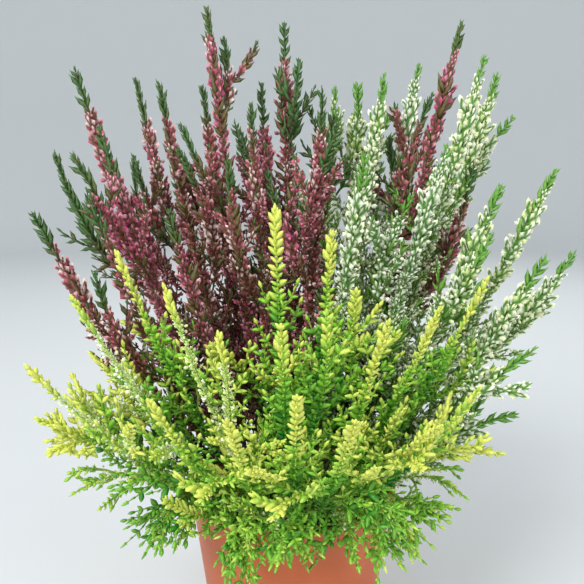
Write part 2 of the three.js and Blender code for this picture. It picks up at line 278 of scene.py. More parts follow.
# %% The rings of a limb
# Of each kind: the step near the tip, and low down.
CAD_STEPS = {"purple": (8.5, 30), "white": (8.5, 30), "lime": (7.5, 15), "green": (8, 15)}
LOW_PART = (0.2, 0.55)  # the part of a stem over which the rings draw closer together
BARE_STEM = 14
PATH_STEP = 3
RING_TURN = 0.6  # how far a ring is turned out of line at most, from one side to the other
STEM_RADIUS = 1.5
BRANCH_RADIUS = 1.1
TWIG_RADIUS = 0.8


def ring_places(kind, length, bare):
    step, low_step = CAD_STEPS[kind]
    places = [0, bare] if bare else [0]
    at = bare
    while at < length - step:
        low = 1 - smoothstep(at / length, *LOW_PART) if bare else 0
        at += lerp(step, low_step, low)
        places.append(at)
    fit = (length - bare) / (places.pop() - bare)
    return [place if place < bare else bare + (place - bare) * fit for place in places]


def make_limb(kind, line, bare, side, parent=None):
    places = ring_places(kind, line.length, bare)
    rings = []
    for i, place in enumerate(places):
        along = line.along(place)
        square = unit(side - along * side.dot(along))
        turn = RING_TURN * (chance(i, math.floor(line.length + 0.5)) - 0.5) if i > 1 else 0
        rings.append(
            {
                "place": place,
                "step": (places[i + 1] if i + 1 < len(places) else line.length) - place,
                "centre": line.point(place),
                "along": along,
                "side": turned(square, along, turn),
                "core": lerp(BRANCH_RADIUS if parent else STEM_RADIUS, TWIG_RADIUS, place / line.length),
            }
        )
    path = line.point(np.linspace(0, line.length, math.ceil(line.length / PATH_STEP) + 1))
    limb = {"kind": kind, "line": line, "bare": bare, "parent": parent}
    return limb | {"rings": rings, "path": path, "taken": set()}


print("rings on a limb of 300 mm:", len(ring_places("purple", 300, STEM_DEPTH + BARE_STEM)))

# %% [markdown]
# A branch leaves at the joint that points best towards its own tip, at a slant, and then turns that way.

# %% Branches
BRANCH_SLANT = 0.9  # how far a branch heads sideways as it leaves its stem, against along it
BRANCH_BEND = 0.42
JOINT_REACH = 3  # how many steps a joint may lie from the place that is wanted
JOINT_COST = 0.2  # what each such step takes off its score


def around_corner(i, corner):
    left, right = (corner + 3) % 4, (corner + 1) % 4
    below, above = 4 * (i - 1), 4 * (i + 1)
    return {4 * i + corner, below + left, below + right, above + left, above + right}


def make_branch(stem, wanted, tip):
    best = None
    for i, ring in enumerate(stem["rings"]):
        off = abs(ring["place"] - wanted * stem["line"].length) / ring["step"]
        if i < 2 or i > len(stem["rings"]) - 3 or off > JOINT_REACH:
            continue
        for corner in range((i + 1) % 2, 4, 2):
            if around_corner(i, corner) & stem["taken"]:
                continue
            way = turned(ring["side"], ring["along"], corner * QUARTER_TURN)
            score = way.dot(unit(tip - ring["centre"])) - JOINT_COST * off
            if best is None or score > best[0]:
                best = (score, ring, i, corner, way)
    if best is None:
        return None
    _, ring, i, corner, way = best
    start = ring["centre"] + way * ring["core"]
    leave = unit(ring["along"] + BRANCH_SLANT * way)
    bend = start + leave * BRANCH_BEND * np.linalg.norm(tip - start)
    joint = {"limb": stem, "number": 4 * i + corner}
    return make_limb(stem["kind"], Line(start, bend, tip), 0, -ring["along"], joint)


def add_branch(spray, branch):
    branch["parent"]["limb"]["taken"].add(branch["parent"]["number"])
    spray["limbs"].append(branch)


print("a branch blocks", len(around_corner(4, 0)), "corners of its stem")

# %% [markdown]
# A spray is its stem with its forks. The further apart two tips stand, the lower they part.

# %% Stems and forks
FORK_REACH = 25  # the least length of a fork
FORK_SLOPE = 2.2  # its further length, against the distance between the two tips
FORK_PLACES = (0.3, 0.85)  # the lowest and highest place of a fork, as a share of its stem's length

for spray, crown in zip(sprays, crowns):
    main, *others = spray["tips"]
    side = unit(np.array([-main[1], main[0], 0]))
    stem = make_limb(spray["kind"], stem_line(crown, main), STEM_DEPTH + BARE_STEM, side)
    spray["limbs"] = [stem]
    for tip in others:
        reach = FORK_REACH + FORK_SLOPE * np.linalg.norm(tip - main)
        place = np.clip(1 - reach / stem["line"].length, *FORK_PLACES)
        add_branch(spray, make_branch(stem, place, tip))
print("stems and forks:", sum(len(spray["limbs"]) for spray in sprays))

# %% [markdown]
# Side branches turn off left and right, shorter towards the tip, and only where they stay clear of the rim
# and of every other spray. This is the step that gives each heather its fan. Tall stems keep their last part
# bare of branches, so that they end in spikes.

# %% One side branch
SIDE_BRANCHES = {"purple": (2, 0.5), "white": (2, 0.55), "lime": (12, 1), "green": (8, 1)}  # tries and spread
SIDE_PLACES = (0.3, 0.85)
SIDE_TURN = (0.5, 1)  # how far a side branch heads to its side
SIDE_LIFT = 1.2  # the range of its heading up or down
SIDE_REACH = (16, 70)  # the length of a side branch: the part that all have, and the most
SIDE_SHARE = 0.5  # its further length, as a share of the stem beyond it


def side_branch(stem, spray_number, number):
    tries, spread = SIDE_BRANCHES[stem["kind"]]
    line = stem["line"]
    share = lerp(*SIDE_PLACES, number / tries)
    along = line.along(share * line.length)
    level = unit(np.array([-along[1], along[0], 0]))
    away = np.cross(along, level)
    turn = (1 if number % 2 else -1) * lerp(*SIDE_TURN, chance(spray_number, number))
    lift = SIDE_LIFT * (chance(number + 50, spray_number) - 0.5)
    least, most = SIDE_REACH
    reach = min(most, least + SIDE_SHARE * (1 - share) * line.length)
    heading = unit(along + level * spread * turn + away * spread * lift)
    return make_branch(stem, share, line.point(share * line.length) + heading * reach)


print("side branches are tried at", sum(SIDE_BRANCHES[spray["kind"]][0] for spray in sprays), "places")

# %% [markdown]
# Crowded branches would run into each other, so each new one is measured against all that are there. They
# are added one round at a time, one to every spray, which shares the room out fairly.

# %% Side branches where there is room
RIM_WIDTH = 3
BRANCH_ROOM = 6
OWN_ROOM = 5
SPIKE = 60  # how far a tall stem's tip stands clear of its side branches
SPIKE_TIPS = (150, 240)  # the heights of the tips of a stem without such a spike, and with all of it
JOINT_POINTS = 4


def clear_of_pot(point):
    outside = math.hypot(point[0], point[1]) - POT_TOP_RADIUS
    rim = math.hypot(outside, max(0, point[2] - POT_HEIGHT)) - RIM_WIDTH
    return rim if outside > 0 else min(rim, point[2] - SOIL_LEVEL)


def far_apart(path, other, room):
    return np.linalg.norm(path[:, None] - other[None], axis=2).min() > room


def has_room(spray, branch):
    tip = spray["tips"][0]
    if np.linalg.norm(branch["line"].end - tip) < SPIKE * smoothstep(tip[2], *SPIKE_TIPS):
        return False
    path = branch["path"]
    if any(clear_of_pot(point) < BRANCH_ROOM for point in path):
        return False
    for other in sprays:
        part, room = (path[JOINT_POINTS:], OWN_ROOM) if other is spray else (path, BRANCH_ROOM)
        if not all(far_apart(limb["path"], part, room) for limb in other["limbs"]):
            return False
    return True


for number in range(max(tries for tries, _ in SIDE_BRANCHES.values())):
    for i, spray in enumerate(sprays):
        if number < SIDE_BRANCHES[spray["kind"]][0]:
            branch = side_branch(spray["limbs"][0], i, number)
            if branch and has_room(spray, branch):
                add_branch(spray, branch)
limbs = [limb for spray in sprays for limb in spray["limbs"]]
print(len(limbs), "limbs,", round(sum(limb["line"].length for limb in limbs) / 1000, 2), "m in all")

# %% [markdown]
# ## Growth
# The solids stop at coarse pyramids. On the real plant the limbs also carry short twigs: flat, alternate and
# close together on the lime heather, and spiralling round the lower half of the taller ones. They fill the
# clump, so they are drawn as short lines of their own, each starting on its limb.

# %% The rules for twigs
# Of each kind: the spacing, the shortest and longest twig, and the part of the limb that carries them.
TWIGS = {
    "purple": (9.8, 16, 46, 0.14, 0.66),
    "white": (9.8, 16, 46, 0.14, 0.66),
    "lime": (8.0, 12, 42, 0.1, 0.74),
    "green": (6.5, 8, 22, 0.1, 0.9),
}
HANGING = (3.2, 10, 24, 0.12, 0.95)  # the same for a lime limb that ends low, over the rim
LOW_END = 150
SLIM = (7.0, 5, 11, 0.3, 0.95)  # and for two lone sprays that reach out low at the left and the right
SLIM_SPRAYS = ("lime_spray_08", "lime_spray_14")
RISE = {"purple": 0.1, "white": 0.1, "lime": 0.3, "green": 0.2}  # how far a twig turns up
HANGING_RISE = -0.1
FLAT_KINDS = ("lime", "green")
GOLDEN_ANGLE = math.radians(137.5)
TWIG_ROOM = 3.0


def is_low(limb):
    return limb["kind"] == "lime" and limb["line"].end[2] < LOW_END


def twig_rule(limb):
    return SLIM if limb["node"] in SLIM_SPRAYS else HANGING if is_low(limb) else TWIGS[limb["kind"]]


for spray in sprays:
    for limb in spray["limbs"]:
        limb["node"] = spray["node"]
print("low limbs:", sum(is_low(limb) for limb in limbs))

# %% [markdown]
# Like a branch, a twig leaves at a slant and then turns, here towards the light or, over the rim, down.
# Flat kinds set their twigs left and right. On the others each stands a golden angle further round.

# %% Twigs
TWIG_OUT = 0.75  # how far a twig's tip lies out and along its limb, as shares of its length
TWIG_ALONG = 0.3
TWIG_BEND = 0.5
TWIG_LENGTHS = (0.65, 1.15)
TWIG_SPACINGS = (0.75, 1.25)
TWIG_WANDER = 1.1  # how far a twig of a flat kind is turned out of line
FIRST_TURNS = 6.3  # the range of where the spiral starts
BARE_END = 4


def twig_line(limb, at, length, angle, rise):
    line = limb["line"]
    along = line.along(at)
    side = limb["rings"][0]["side"]
    way = turned(unit(side - along * side.dot(along)), along, angle)
    start = line.point(at)
    heading = unit(along + way)
    up = np.array([0, 0, rise * length])
    end = heading * TWIG_OUT * length + along * (TWIG_ALONG - rise) * length + up
    return Line(start, start + heading * TWIG_BEND * length, start + end)


def twigs_of(limb, number):
    spacing, shortest, longest, low, high = twig_rule(limb)
    hanging = is_low(limb)
    length = limb["line"].length
    at = max(low * length, limb["bare"])
    found = []
    count = 0
    while at < high * length - BARE_END:
        wild = chance(count + 200, number)
        if limb["kind"] in FLAT_KINDS and not hanging:
            angle = math.pi * (count % 2) + TWIG_WANDER * (wild - 0.5)
        else:
            angle = GOLDEN_ANGLE * count + FIRST_TURNS * chance(number, 77)
        reach = lerp(longest, shortest, at / length) * lerp(*TWIG_LENGTHS, chance(number, count + 300))
        twig = twig_line(limb, at, reach, angle, HANGING_RISE if hanging else RISE[limb["kind"]])
        if min(clear_of_pot(twig.point(share * twig.length)) for share in (0.5, 1)) > TWIG_ROOM:
            found.append({"line": twig, "at": at})
        at += spacing * lerp(*TWIG_SPACINGS, wild)
        count += 1
    return found


for number, limb in enumerate(limbs):
    limb["number"] = number
    limb["twigs"] = twigs_of(limb, number)
twigs = [twig for limb in limbs for twig in limb["twigs"]]
print(len(twigs), "twigs,", round(sum(twig["line"].length for twig in twigs) / 1000, 2), "m in all")

# %% [markdown]
# What grows at a point of a limb depends on where it is: nothing on the bare foot, full leaf or flower in the
# middle, and a narrow green tip that hasn't flowered yet. These rules give each point its numbers.

# %% How wide, how old and shaded, and how much in flower
# Of each kind: half the width in leaf or flower, the length of the narrow tip, and half its width.
WIDTHS = {"purple": (8.0, 50, 4.8), "white": (8.4, 36, 4.8), "lime": (6.4, 50, 4.6), "green": (7, 35, 4.6)}
STEM_GROWTH = 30  # the length over which shoots grow to full size on a stem
JOINT_GROWTH = (3, 18)  # and on a branch
END_TAPER = (-9, 8)
AGEING_AND_SHADE = {"purple": (25, 200), "white": (25, 200), "lime": (8, 75), "green": (8, 75)}  # where leaves are young, and where old and dark, which also paints shade
LEAFY_LIMBS = {"purple": 0.12, "white": 0.06}  # the share of limbs that stay green
LEAST_BLOOM = {"purple": 0.55, "white": 0.8}
LEAFY_FOOT = 0.2  # the share of a stem's foot that carries no flower
CREAM_SPRAYS = tuple(f"lime_spray_{number}" for number in ("03", "05", "06", "08", "14", "16", "22", "24"))
CREAM_TIP = (10, 25)  # where their flowers end below the tip
CREAM_FOOT = (150, 110)  # and where they start


def width_at(limb, place):
    width, tip, tip_width = WIDTHS[limb["kind"]]
    foot = JOINT_GROWTH if limb["parent"] else (limb["bare"], limb["bare"] + STEM_GROWTH)
    left = limb["line"].length - place
    narrow = lerp(tip_width, width, smoothstep(left, 0.6 * tip, tip))
    return smoothstep(place, *foot) * narrow * smoothstep(left, *END_TAPER)


def bloom_at(limb, place):
    kind, number = limb["kind"], limb["number"]
    left = limb["line"].length - place
    if limb["node"] in CREAM_SPRAYS:
        return smoothstep(left, *CREAM_TIP) * smoothstep(left, *CREAM_FOOT)
    if chance(number, 911) < LEAFY_LIMBS.get(kind, 1):
        return 0.0
    tip = WIDTHS[kind][1] * lerp(0.5, 1.1, chance(number, 500))
    low = 0.0 if limb["parent"] else LEAFY_FOOT * limb["line"].length
    most = lerp(LEAST_BLOOM[kind], 1.0, chance(number, 640))
    return most * smoothstep(left, 0.5 * tip, 0.8 * tip) * smoothstep(place, low, low + STEM_GROWTH)


# Old leaves are a deeper green, and that deep green also paints shade deep in the clump.
def age_and_shade_at(kind, left):
    return smoothstep(left, *AGEING_AND_SHADE[kind])


print("half width in flower:", round(width_at(limbs[0], 200), 1), "mm")

# %% [markdown]
# The guide of a spray is a mesh of bare edges, one string for each limb and twig. Its points carry the
# numbers above as attributes, and Geometry Nodes will read them by name. A curve object could carry only
# radius and tilt.

# %% The points of a guide
NUMBERS = ("width", "stout", "bloom", "age", "hue", "step")
# How far apart the pairs of shoots stand, on a limb and on a twig
STEPS = {"purple": (3.1, 4.8), "white": (3.2, 4.8), "lime": (2.2, 3.8), "green": (2.8, 4.2)}
LIMB_SPACING, TWIG_SPACING = 8, 6  # between the points of a guide
LIMB_BARK = {"stem": 1.4, "branch": 1.0, "twig": 0.6}  # half the thickness of the bark at the foot
BARK_END = 0.35
TWIG_WIDTH = {"purple": 0.7, "white": 0.7, "lime": 0.92, "green": 0.7}  # a share of the limb's width
TWIG_FADE = {"purple": 0.85, "white": 0.85, "lime": 0.45, "green": 0.85}  # how much younger a twig's tip is
# Painted shade under the mound: the twigs of low lime limbs stay dark towards their tips.
LOW_SHADE_FADE = 0.7
LOW_PAINTED_SHADE, LOW_TWIG_PAINTED_SHADE = 0.4, 0.9  # painted shade: low lime leaves are kept old and dark green, out to their tips


def string_of(line, spacing):
    places = np.linspace(0, line.length, max(3, math.ceil(line.length / spacing) + 1))
    return list(zip(places, line.point(places)))


def limb_rows(limb):
    """Points along a limb: position, side, and one value for each of NUMBERS."""
    line, kind = limb["line"], limb["kind"]
    bark = LIMB_BARK["branch" if limb["parent"] else "stem"]
    rows = []
    for place, point in string_of(line, LIMB_SPACING):
        width = min(width_at(limb, place), max(0, clear_of_pot(point)))
        stout = lerp(bark, BARK_END, math.sqrt(place / line.length))
        # A low lime limb carries painted shade: its leaves never turn young.
        age = max(age_and_shade_at(kind, line.length - place), LOW_PAINTED_SHADE if is_low(limb) else 0)
        hue = chance(limb["number"], 41)
        values = (width * MM, stout * MM, bloom_at(limb, place), age, hue, STEPS[kind][0] * MM)
        rows.append((point, limb["rings"][0]["side"], values))
    return rows


def twig_rows(limb, twig):
    """The same along a twig. It is as old and shaded, and as much in flower, as its limb is where it leaves.
    """
    line, kind, low = twig["line"], limb["kind"], is_low(limb)
    foot_age_and_shade = max(age_and_shade_at(kind, limb["line"].length - twig["at"]), LOW_TWIG_PAINTED_SHADE if low else 0)
    fade = LOW_SHADE_FADE if low else TWIG_FADE[kind]
    blooming = 0 if kind == "lime" else bloom_at(limb, twig["at"])
    rows = []
    for place, point in string_of(line, TWIG_SPACING):
        left = line.length - place
        width = TWIG_WIDTH[kind] * WIDTHS[kind][0] * smoothstep(place, 0, 5) * smoothstep(left, -4, 8)
        stout = lerp(LIMB_BARK["twig"], BARK_END, place / line.length)
        age = foot_age_and_shade * lerp(1, fade, place / line.length)
        bloom = blooming * smoothstep(left, 2, 8)
        hue = chance(limb["number"], 41)
        values = (width * MM, stout * MM, bloom, age, hue, STEPS[kind][1] * MM)
        rows.append((point, limb["line"].along(twig["at"]), values))
    return rows


print("points on the first limb's string:", len(limb_rows(limbs[0])))

# %% [markdown]
# Plain meshes take such strings straight from lists of points and edges, and an attribute for each number.

# %% A guide as a mesh
def add_object(name, mesh):
    made = bpy.data.objects.new(name, mesh)
    bpy.context.scene.collection.objects.link(made)
    return made


def add_numbers(mesh, name, values, kind="FLOAT", domain="POINT"):
    layer = mesh.attributes.new(name, kind, domain)
    slot = "vector" if kind == "FLOAT_VECTOR" else "value"
    layer.data.foreach_set(slot, np.array(values, np.int32 if kind == "INT" else np.float32).ravel())


def guide_object(spray):
    strings = []
    for limb in spray["limbs"]:
        strings.append(limb_rows(limb))
        strings += [twig_rows(limb, twig) for twig in limb["twigs"]]
    rows = [row for string in strings for row in string]
    edges = []
    first = 0
    for string in strings:
        edges += [(first + i, first + i + 1) for i in range(len(string) - 1)]
        first += len(string)
    mesh = bpy.data.meshes.new(spray["node"])
    mesh.from_pydata([row[0] * MM for row in rows], edges, [])
    add_numbers(mesh, "side", [row[1] for row in rows], "FLOAT_VECTOR")
    for i, name in enumerate(NUMBERS):
        add_numbers(mesh, name, [row[2][i] for row in rows])
    return add_object(f"{spray['node']}_dressed", mesh)


print("guides carry a side and", ", ".join(NUMBERS))

# %% [markdown]
# ## Small shapes
# A leafy shoot of heather is a twig wrapped in scale leaves in four ranks, each pair crosswise to the next.
# A strip of four-cornered rings says just that: every second corner is pulled out and forwards into a leaf.
# It repeats thousands of times, so it keeps to a few dozen faces.

# %% Helpers for small shapes
BARK, LEAF, PETAL = range(3)


def small_shape(name, points, faces, parts, petals):
    """A template one unit long. Each face knows what it is part of, and each point how near the tip it is and
    how much of a petal."""
    mesh = bpy.data.meshes.new(name)
    mesh.from_pydata(points, [], faces)
    add_numbers(mesh, "part", parts, "INT", "FACE")
    add_numbers(mesh, "tipward", np.clip([point[2] for point in points], 0, 1))
    add_numbers(mesh, "petal", petals)
    print(name, "has", len(faces), "faces")
    return add_object(name, mesh)


def on_circle(radius, turn, height):
    return (radius * math.cos(turn), radius * math.sin(turn), height)


def ring_strip(rings, corners):
    """Faces between rings of points that are listed one after another."""
    faces = []
    for i in range(rings - 1):
        low, high = i * corners, (i + 1) * corners
        for j in range(corners):
            after = (j + 1) % corners
            faces.append((low + j, low + after, high + after, high + j))
    return faces


def cut_quads(faces, cut_first):
    """Each four-sided face is cut in two, along its first diagonal or its second."""
    cut = []
    for number, (a, b, c, d) in enumerate(faces):
        cut += [(a, b, c), (a, c, d)] if cut_first(number) else [(a, b, d), (b, c, d)]
    return cut


print("two rings of four corners give", len(ring_strip(2, 4)), "faces")

# %% [markdown]
# One rule makes three of these shapes: a slim shoot, the plump flat one of the lime heather, and a cluster of
# flowers, whose leaves are petals.

# %% Scaly shoots
TAPER_START, TAPER_SPAN = 0.18, 0.72  # the part of a sine wave that gives a shoot its outline
LAST_PAIR = 0.86


def scaly_shoot(name, pairs, spread, forward, core, part=LEAF):
    points, petals = [], []
    for i in range(pairs):
        taper = math.sin(math.pi * (TAPER_START + TAPER_SPAN * i / (pairs - 1)))
        for corner in range(4):
            leaf = (i + corner) % 2 == 1
            up = LAST_PAIR * i / (pairs - 1) + (forward if leaf and i else 0)
            points.append(on_circle(spread * taper if leaf else core, corner * QUARTER_TURN, up))
            petals.append(float(leaf and i > 0))
    points.append((0, 0, 1.0 + forward))
    petals.append(1.0)
    last = 4 * (pairs - 1)
    faces = cut_quads(ring_strip(pairs, 4), lambda number: (number // 4 + number % 4) % 2 == 0)
    faces += [(last + j, last + (j + 1) % 4, last + 4) for j in range(4)] + [(3, 2, 1), (3, 1, 0)]
    return small_shape(name, points, faces, [part] * len(faces), petals)


shoot = scaly_shoot("shoot", 3, 0.19, 0.16, 0.08)
lobe = scaly_shoot("lobe", 3, 0.3, 0.12, 0.18)
cluster = scaly_shoot("cluster", 4, 0.34, 0.06, 0.09, PETAL)

# %% [markdown]
# A flower of this heather is a small bell on a short stalk: round, grooved between its petals, and closed at
# its tip. Six corners to a ring, every second one drawn in, are enough to show petals at this size.

# %% A flower on its stalk
STALK_RADIUS = 0.022
STALK_TURNS = (0, 2.1, 4.2)
STALK_INSIDE = 0.06  # how far the stalk reaches into the bell
LOW_RING = (0.45, 0.78)  # where a ring lies between the ends of its part of the bell, and how wide it is
HIGH_RING = (0.3, 0.96)


def flower_shape(name, stalk_end, widest, radius, groove):
    points = [on_circle(STALK_RADIUS, turn, 0.0) for turn in STALK_TURNS]
    points.append((0, 0, stalk_end + STALK_INSIDE))
    faces = [(0, 1, 3), (1, 2, 3), (2, 0, 3), (2, 1, 0)]
    parts = [LEAF] * len(faces)
    first = len(points)
    points.append((0, 0, stalk_end))
    for start, end, (place, share) in ((stalk_end, widest, LOW_RING), (widest, 1, HIGH_RING)):
        for corner in range(6):
            out = radius * share * (groove if corner % 2 else 1)
            points.append(on_circle(out, corner * math.pi / 3, lerp(start, end, place)))
    points.append((0, 0, 1.0))
    low, high, end = first + 1, first + 7, len(points) - 1
    petals = [(low + (j + 1) % 6, low + j, first) for j in range(6)]
    sides = cut_quads(ring_strip(2, 6), lambda number: number % 2 == 0)
    petals += [tuple(low + corner for corner in face) for face in sides]
    petals += [(high + j, high + (j + 1) % 6, end) for j in range(6)]
    return small_shape(name, points, faces + petals, parts + [PETAL] * len(petals), [1.0] * len(points))


flower = flower_shape("flower", 0.5, 0.74, 0.19, 0.78)

# %% [markdown]
# ## The growing tree
# One Geometry Nodes tree dresses every spray. It skins the guide with bark, sets a pair of shoots at each
# step, crosswise to the pair below, sets flowers where the spray blooms and a last shoot on every tip. All
# of it repeats along a path, which is what nodes do best; the same loops in Python would be far slower.
# Small helpers add a node and feed it in one line each.

# %% Helpers for node trees
def put(tree, kind, links=None, **settings):
    """Adds a node, sets its properties, and feeds its inputs with values or other nodes' outputs."""
    node = tree.nodes.new(kind)
    for name, value in settings.items():
        setattr(node, name, value)
    for name, value in (links or {}).items():
        if isinstance(value, bpy.types.NodeSocket):
            tree.links.new(value, node.inputs[name])
        else:
            node.inputs[name].default_value = value
    return node


def reckon(tree, operation, *values):
    node = put(tree, "ShaderNodeMath", dict(enumerate(values)), operation=operation)
    return node.outputs[0]


def new_tree(name, kind, inputs, outputs):
    """A tree with named inputs, as (name, type, default), and outputs, as (name, type)."""
    tree = bpy.data.node_groups.new(name, kind)
    for label, socket, default in inputs:
        made = tree.interface.new_socket(label, in_out="INPUT", socket_type=socket)
        if default is not None:
            made.default_value = default
    for label, socket in outputs:
        tree.interface.new_socket(label, in_out="OUTPUT", socket_type=socket)
    return tree, put(tree, "NodeGroupInput").outputs, put(tree, "NodeGroupOutput").inputs


def read(tree, name, kind="FLOAT"):
    return put(tree, "GeometryNodeInputNamedAttribute", {"Name": name}, data_type=kind).outputs["Attribute"]


def store(tree, geometry, name, value, kind="FLOAT", domain="POINT"):
    """Keeps a value on the geometry, under a name that later nodes and finishes can read."""
    links = {"Geometry": geometry, "Name": name, "Value": value}
    node = put(tree, "GeometryNodeStoreNamedAttribute", links, data_type=kind, domain=domain)
    return node.outputs["Geometry"]


def between(tree, low, high, seed):
    """A different number for every point, from low to high."""
    node = put(tree, "FunctionNodeRandomValue", data_type="FLOAT")
    sockets = [socket for socket in node.inputs if socket.enabled]
    for socket, value in zip(sockets, (low, high)):
        socket.default_value = value
    tree.links.new(seed, node.inputs["Seed"])
    return next(socket for socket in node.outputs if socket.enabled)


print("helpers for node trees are ready")

# %% [markdown]
# A woody stem is a thin rod that narrows to its tip. The guide's edges become curves, and a square profile
# run along them, scaled by the number called stout, gives the bark. Four sides are enough under the leaves.

# %% The growing tree: bark
SIZE, WHOLE, THING, FINISH = "NodeSocketFloat", "NodeSocketInt", "NodeSocketObject", "NodeSocketMaterial"
grow, given, grown = new_tree(
    "grow a spray",
    "GeometryNodeTree",
    [
        ("Guide", "NodeSocketGeometry", None),
        ("Shoot", THING, None),
        ("Cluster", THING, None),
        ("Flower", THING, None),
        ("Bark finish", FINISH, None),
        ("Leaf finish", FINISH, None),
        ("Petal finish", FINISH, None),
        ("Slant", SIZE, 0.7),
        ("Shoot size", SIZE, 1.0),
        ("Flowers", SIZE, 2.0),
        ("Flatness", SIZE, 0.0),
        ("Seed", WHOLE, 1),
    ],
    [("Spray", "NodeSocketGeometry")],
)
strings = put(grow, "GeometryNodeMeshToCurve", {"Mesh": given["Guide"]}).outputs["Curve"]
around = put(grow, "GeometryNodeCurvePrimitiveCircle", {"Resolution": 4, "Radius": 1.0}, mode="RADIUS")
rods = {"Curve": strings, "Profile Curve": around.outputs["Curve"]}
rods |= {"Scale": read(grow, "stout"), "Fill Caps": True}
skin = put(grow, "GeometryNodeCurveToMesh", rods)
bark = store(grow, skin.outputs["Mesh"], "part", BARK, "INT", "FACE")
print("nodes for the bark:", len(grow.nodes))

# %% [markdown]
# Each step of the resampled limb becomes a point that knows its tangent. The frame of a point has its Z axis
# along the limb and its X axis to the limb's side, so rolling about Z and then tilting from Z gives the
# direction of one shoot.

# %% The growing tree: points, and how things stand on them
apart = {"Curve": strings, "Length": read(grow, "step")}
steps = put(grow, "GeometryNodeResampleCurve", apart, mode="LENGTH")
dots = put(grow, "GeometryNodeCurveToPoints", {"Curve": steps.outputs["Curve"]}, mode="EVALUATED")
tangent = dots.outputs["Tangent"]
upright = put(grow, "FunctionNodeAlignRotationToVector", {"Vector": tangent}, axis="Z").outputs["Rotation"]
sideways = {"Rotation": upright, "Vector": read(grow, "side", "FLOAT_VECTOR")}
limb_frame = put(grow, "FunctionNodeAlignRotationToVector", sideways, axis="X", pivot_axis="Z").outputs[0]


def turn_about(rotation, axis, angle):
    by = put(grow, "FunctionNodeAxisAngleToRotation", {"Axis": axis, "Angle": angle}).outputs["Rotation"]
    links = {"Rotation": rotation, "Rotate By": by}
    return put(grow, "FunctionNodeRotateRotation", links, rotation_space="LOCAL").outputs["Rotation"]


def stand(roll, tilt):
    return turn_about(turn_about(limb_frame, (0, 0, 1), roll), (0, 1, 0), tilt)


def copies(points, shape, rotation, size, chosen=None):
    """Instances of a shape on points, each with a tint of its own."""
    held = put(grow, "GeometryNodeObjectInfo", {"Object": shape}).outputs["Geometry"]
    links = {"Points": points, "Instance": held, "Rotation": rotation, "Scale": size}
    if chosen is not None:
        links["Selection"] = chosen
    placed = put(grow, "GeometryNodeInstanceOnPoints", links).outputs["Instances"]
    return store(grow, placed, "tint", between(grow, 0, 1, given["Seed"]), domain="INSTANCE")


def seeded(offset):
    return put(grow, "FunctionNodeIntegerMath", {0: given["Seed"], 1: offset}, operation="ADD").outputs[0]


print("nodes with the points:", len(grow.nodes))

# %% [markdown]
# Shoots come in pairs. Duplicate Elements doubles every point, and the copy's number turns its shoot to the
# other side. Every second point turns its pair a quarter round. The shoot's length follows the width that the
# guide asks for, and older shoots stand further off their limb.

# %% The growing tree: pairs of shoots
ROLL_WANDER, TILT_WANDER = 0.35, 0.16
YOUNG_SLANT, SLANT_WITH_AGE = 0.6, 1.3  # shares of the full slant
SHOOT_SIZES = (0.5, 0.9)
LEAST_WIDTH = 0.0012  # metres; no shoot where less is asked for

parity = reckon(grow, "MODULO", put(grow, "GeometryNodeInputIndex").outputs[0], 2.0)
marked = store(grow, dots.outputs["Points"], "quarter", parity)
pairs = put(grow, "GeometryNodeDuplicateElements", {"Geometry": marked, "Amount": 2}, domain="POINT")
half_turn = reckon(grow, "MULTIPLY", pairs.outputs["Duplicate Index"], math.pi)
roll = reckon(grow, "MULTIPLY_ADD", read(grow, "quarter"), QUARTER_TURN, half_turn)
roll = reckon(grow, "ADD", roll, between(grow, -ROLL_WANDER, ROLL_WANDER, seeded(1)))
opened = reckon(grow, "MULTIPLY_ADD", read(grow, "age"), SLANT_WITH_AGE, YOUNG_SLANT)
slant = reckon(grow, "MULTIPLY", given["Slant"], reckon(grow, "MINIMUM", opened, 1.0))
tilt = reckon(grow, "ADD", slant, between(grow, -TILT_WANDER, TILT_WANDER, seeded(2)))
width = read(grow, "width")
reach = reckon(grow, "DIVIDE", width, reckon(grow, "SINE", slant))
flat = reckon(grow, "SUBTRACT", 1.0, reckon(grow, "MULTIPLY", read(grow, "quarter"), given["Flatness"]))
size = reckon(grow, "MULTIPLY", reckon(grow, "MULTIPLY", reach, flat), between(grow, *SHOOT_SIZES, seeded(3)))
size = reckon(grow, "MULTIPLY", size, given["Shoot size"])
wide_enough = reckon(grow, "GREATER_THAN", width, LEAST_WIDTH)
in_bloom = reckon(grow, "GREATER_THAN", read(grow, "bloom"), between(grow, 0.1, 0.9, seeded(8)))
out_of_bloom = reckon(grow, "SUBTRACT", wide_enough, in_bloom)
facing = stand(roll, tilt)
shoots = copies(pairs.outputs["Geometry"], given["Shoot"], facing, size, out_of_bloom)
clusters = copies(pairs.outputs["Geometry"], given["Cluster"], facing, size, in_bloom)
print("nodes with the shoots:", len(grow.nodes))

# %% [markdown]
# Single flowers crowd round the stem without any order that the eye can find, so their number comes from the
# bloom of the point, and their turn, tilt, reach and place along the stem are all left to chance.

# %% The growing tree: flowers
FLOWER_SLIDE = 0.002  # metres along the stem, either way
FLOWER_SIZES = (0.75, 1.1)
LEAST_FLOWER = 0.004
FLOWER_TILTS = (0.75, 1.5)

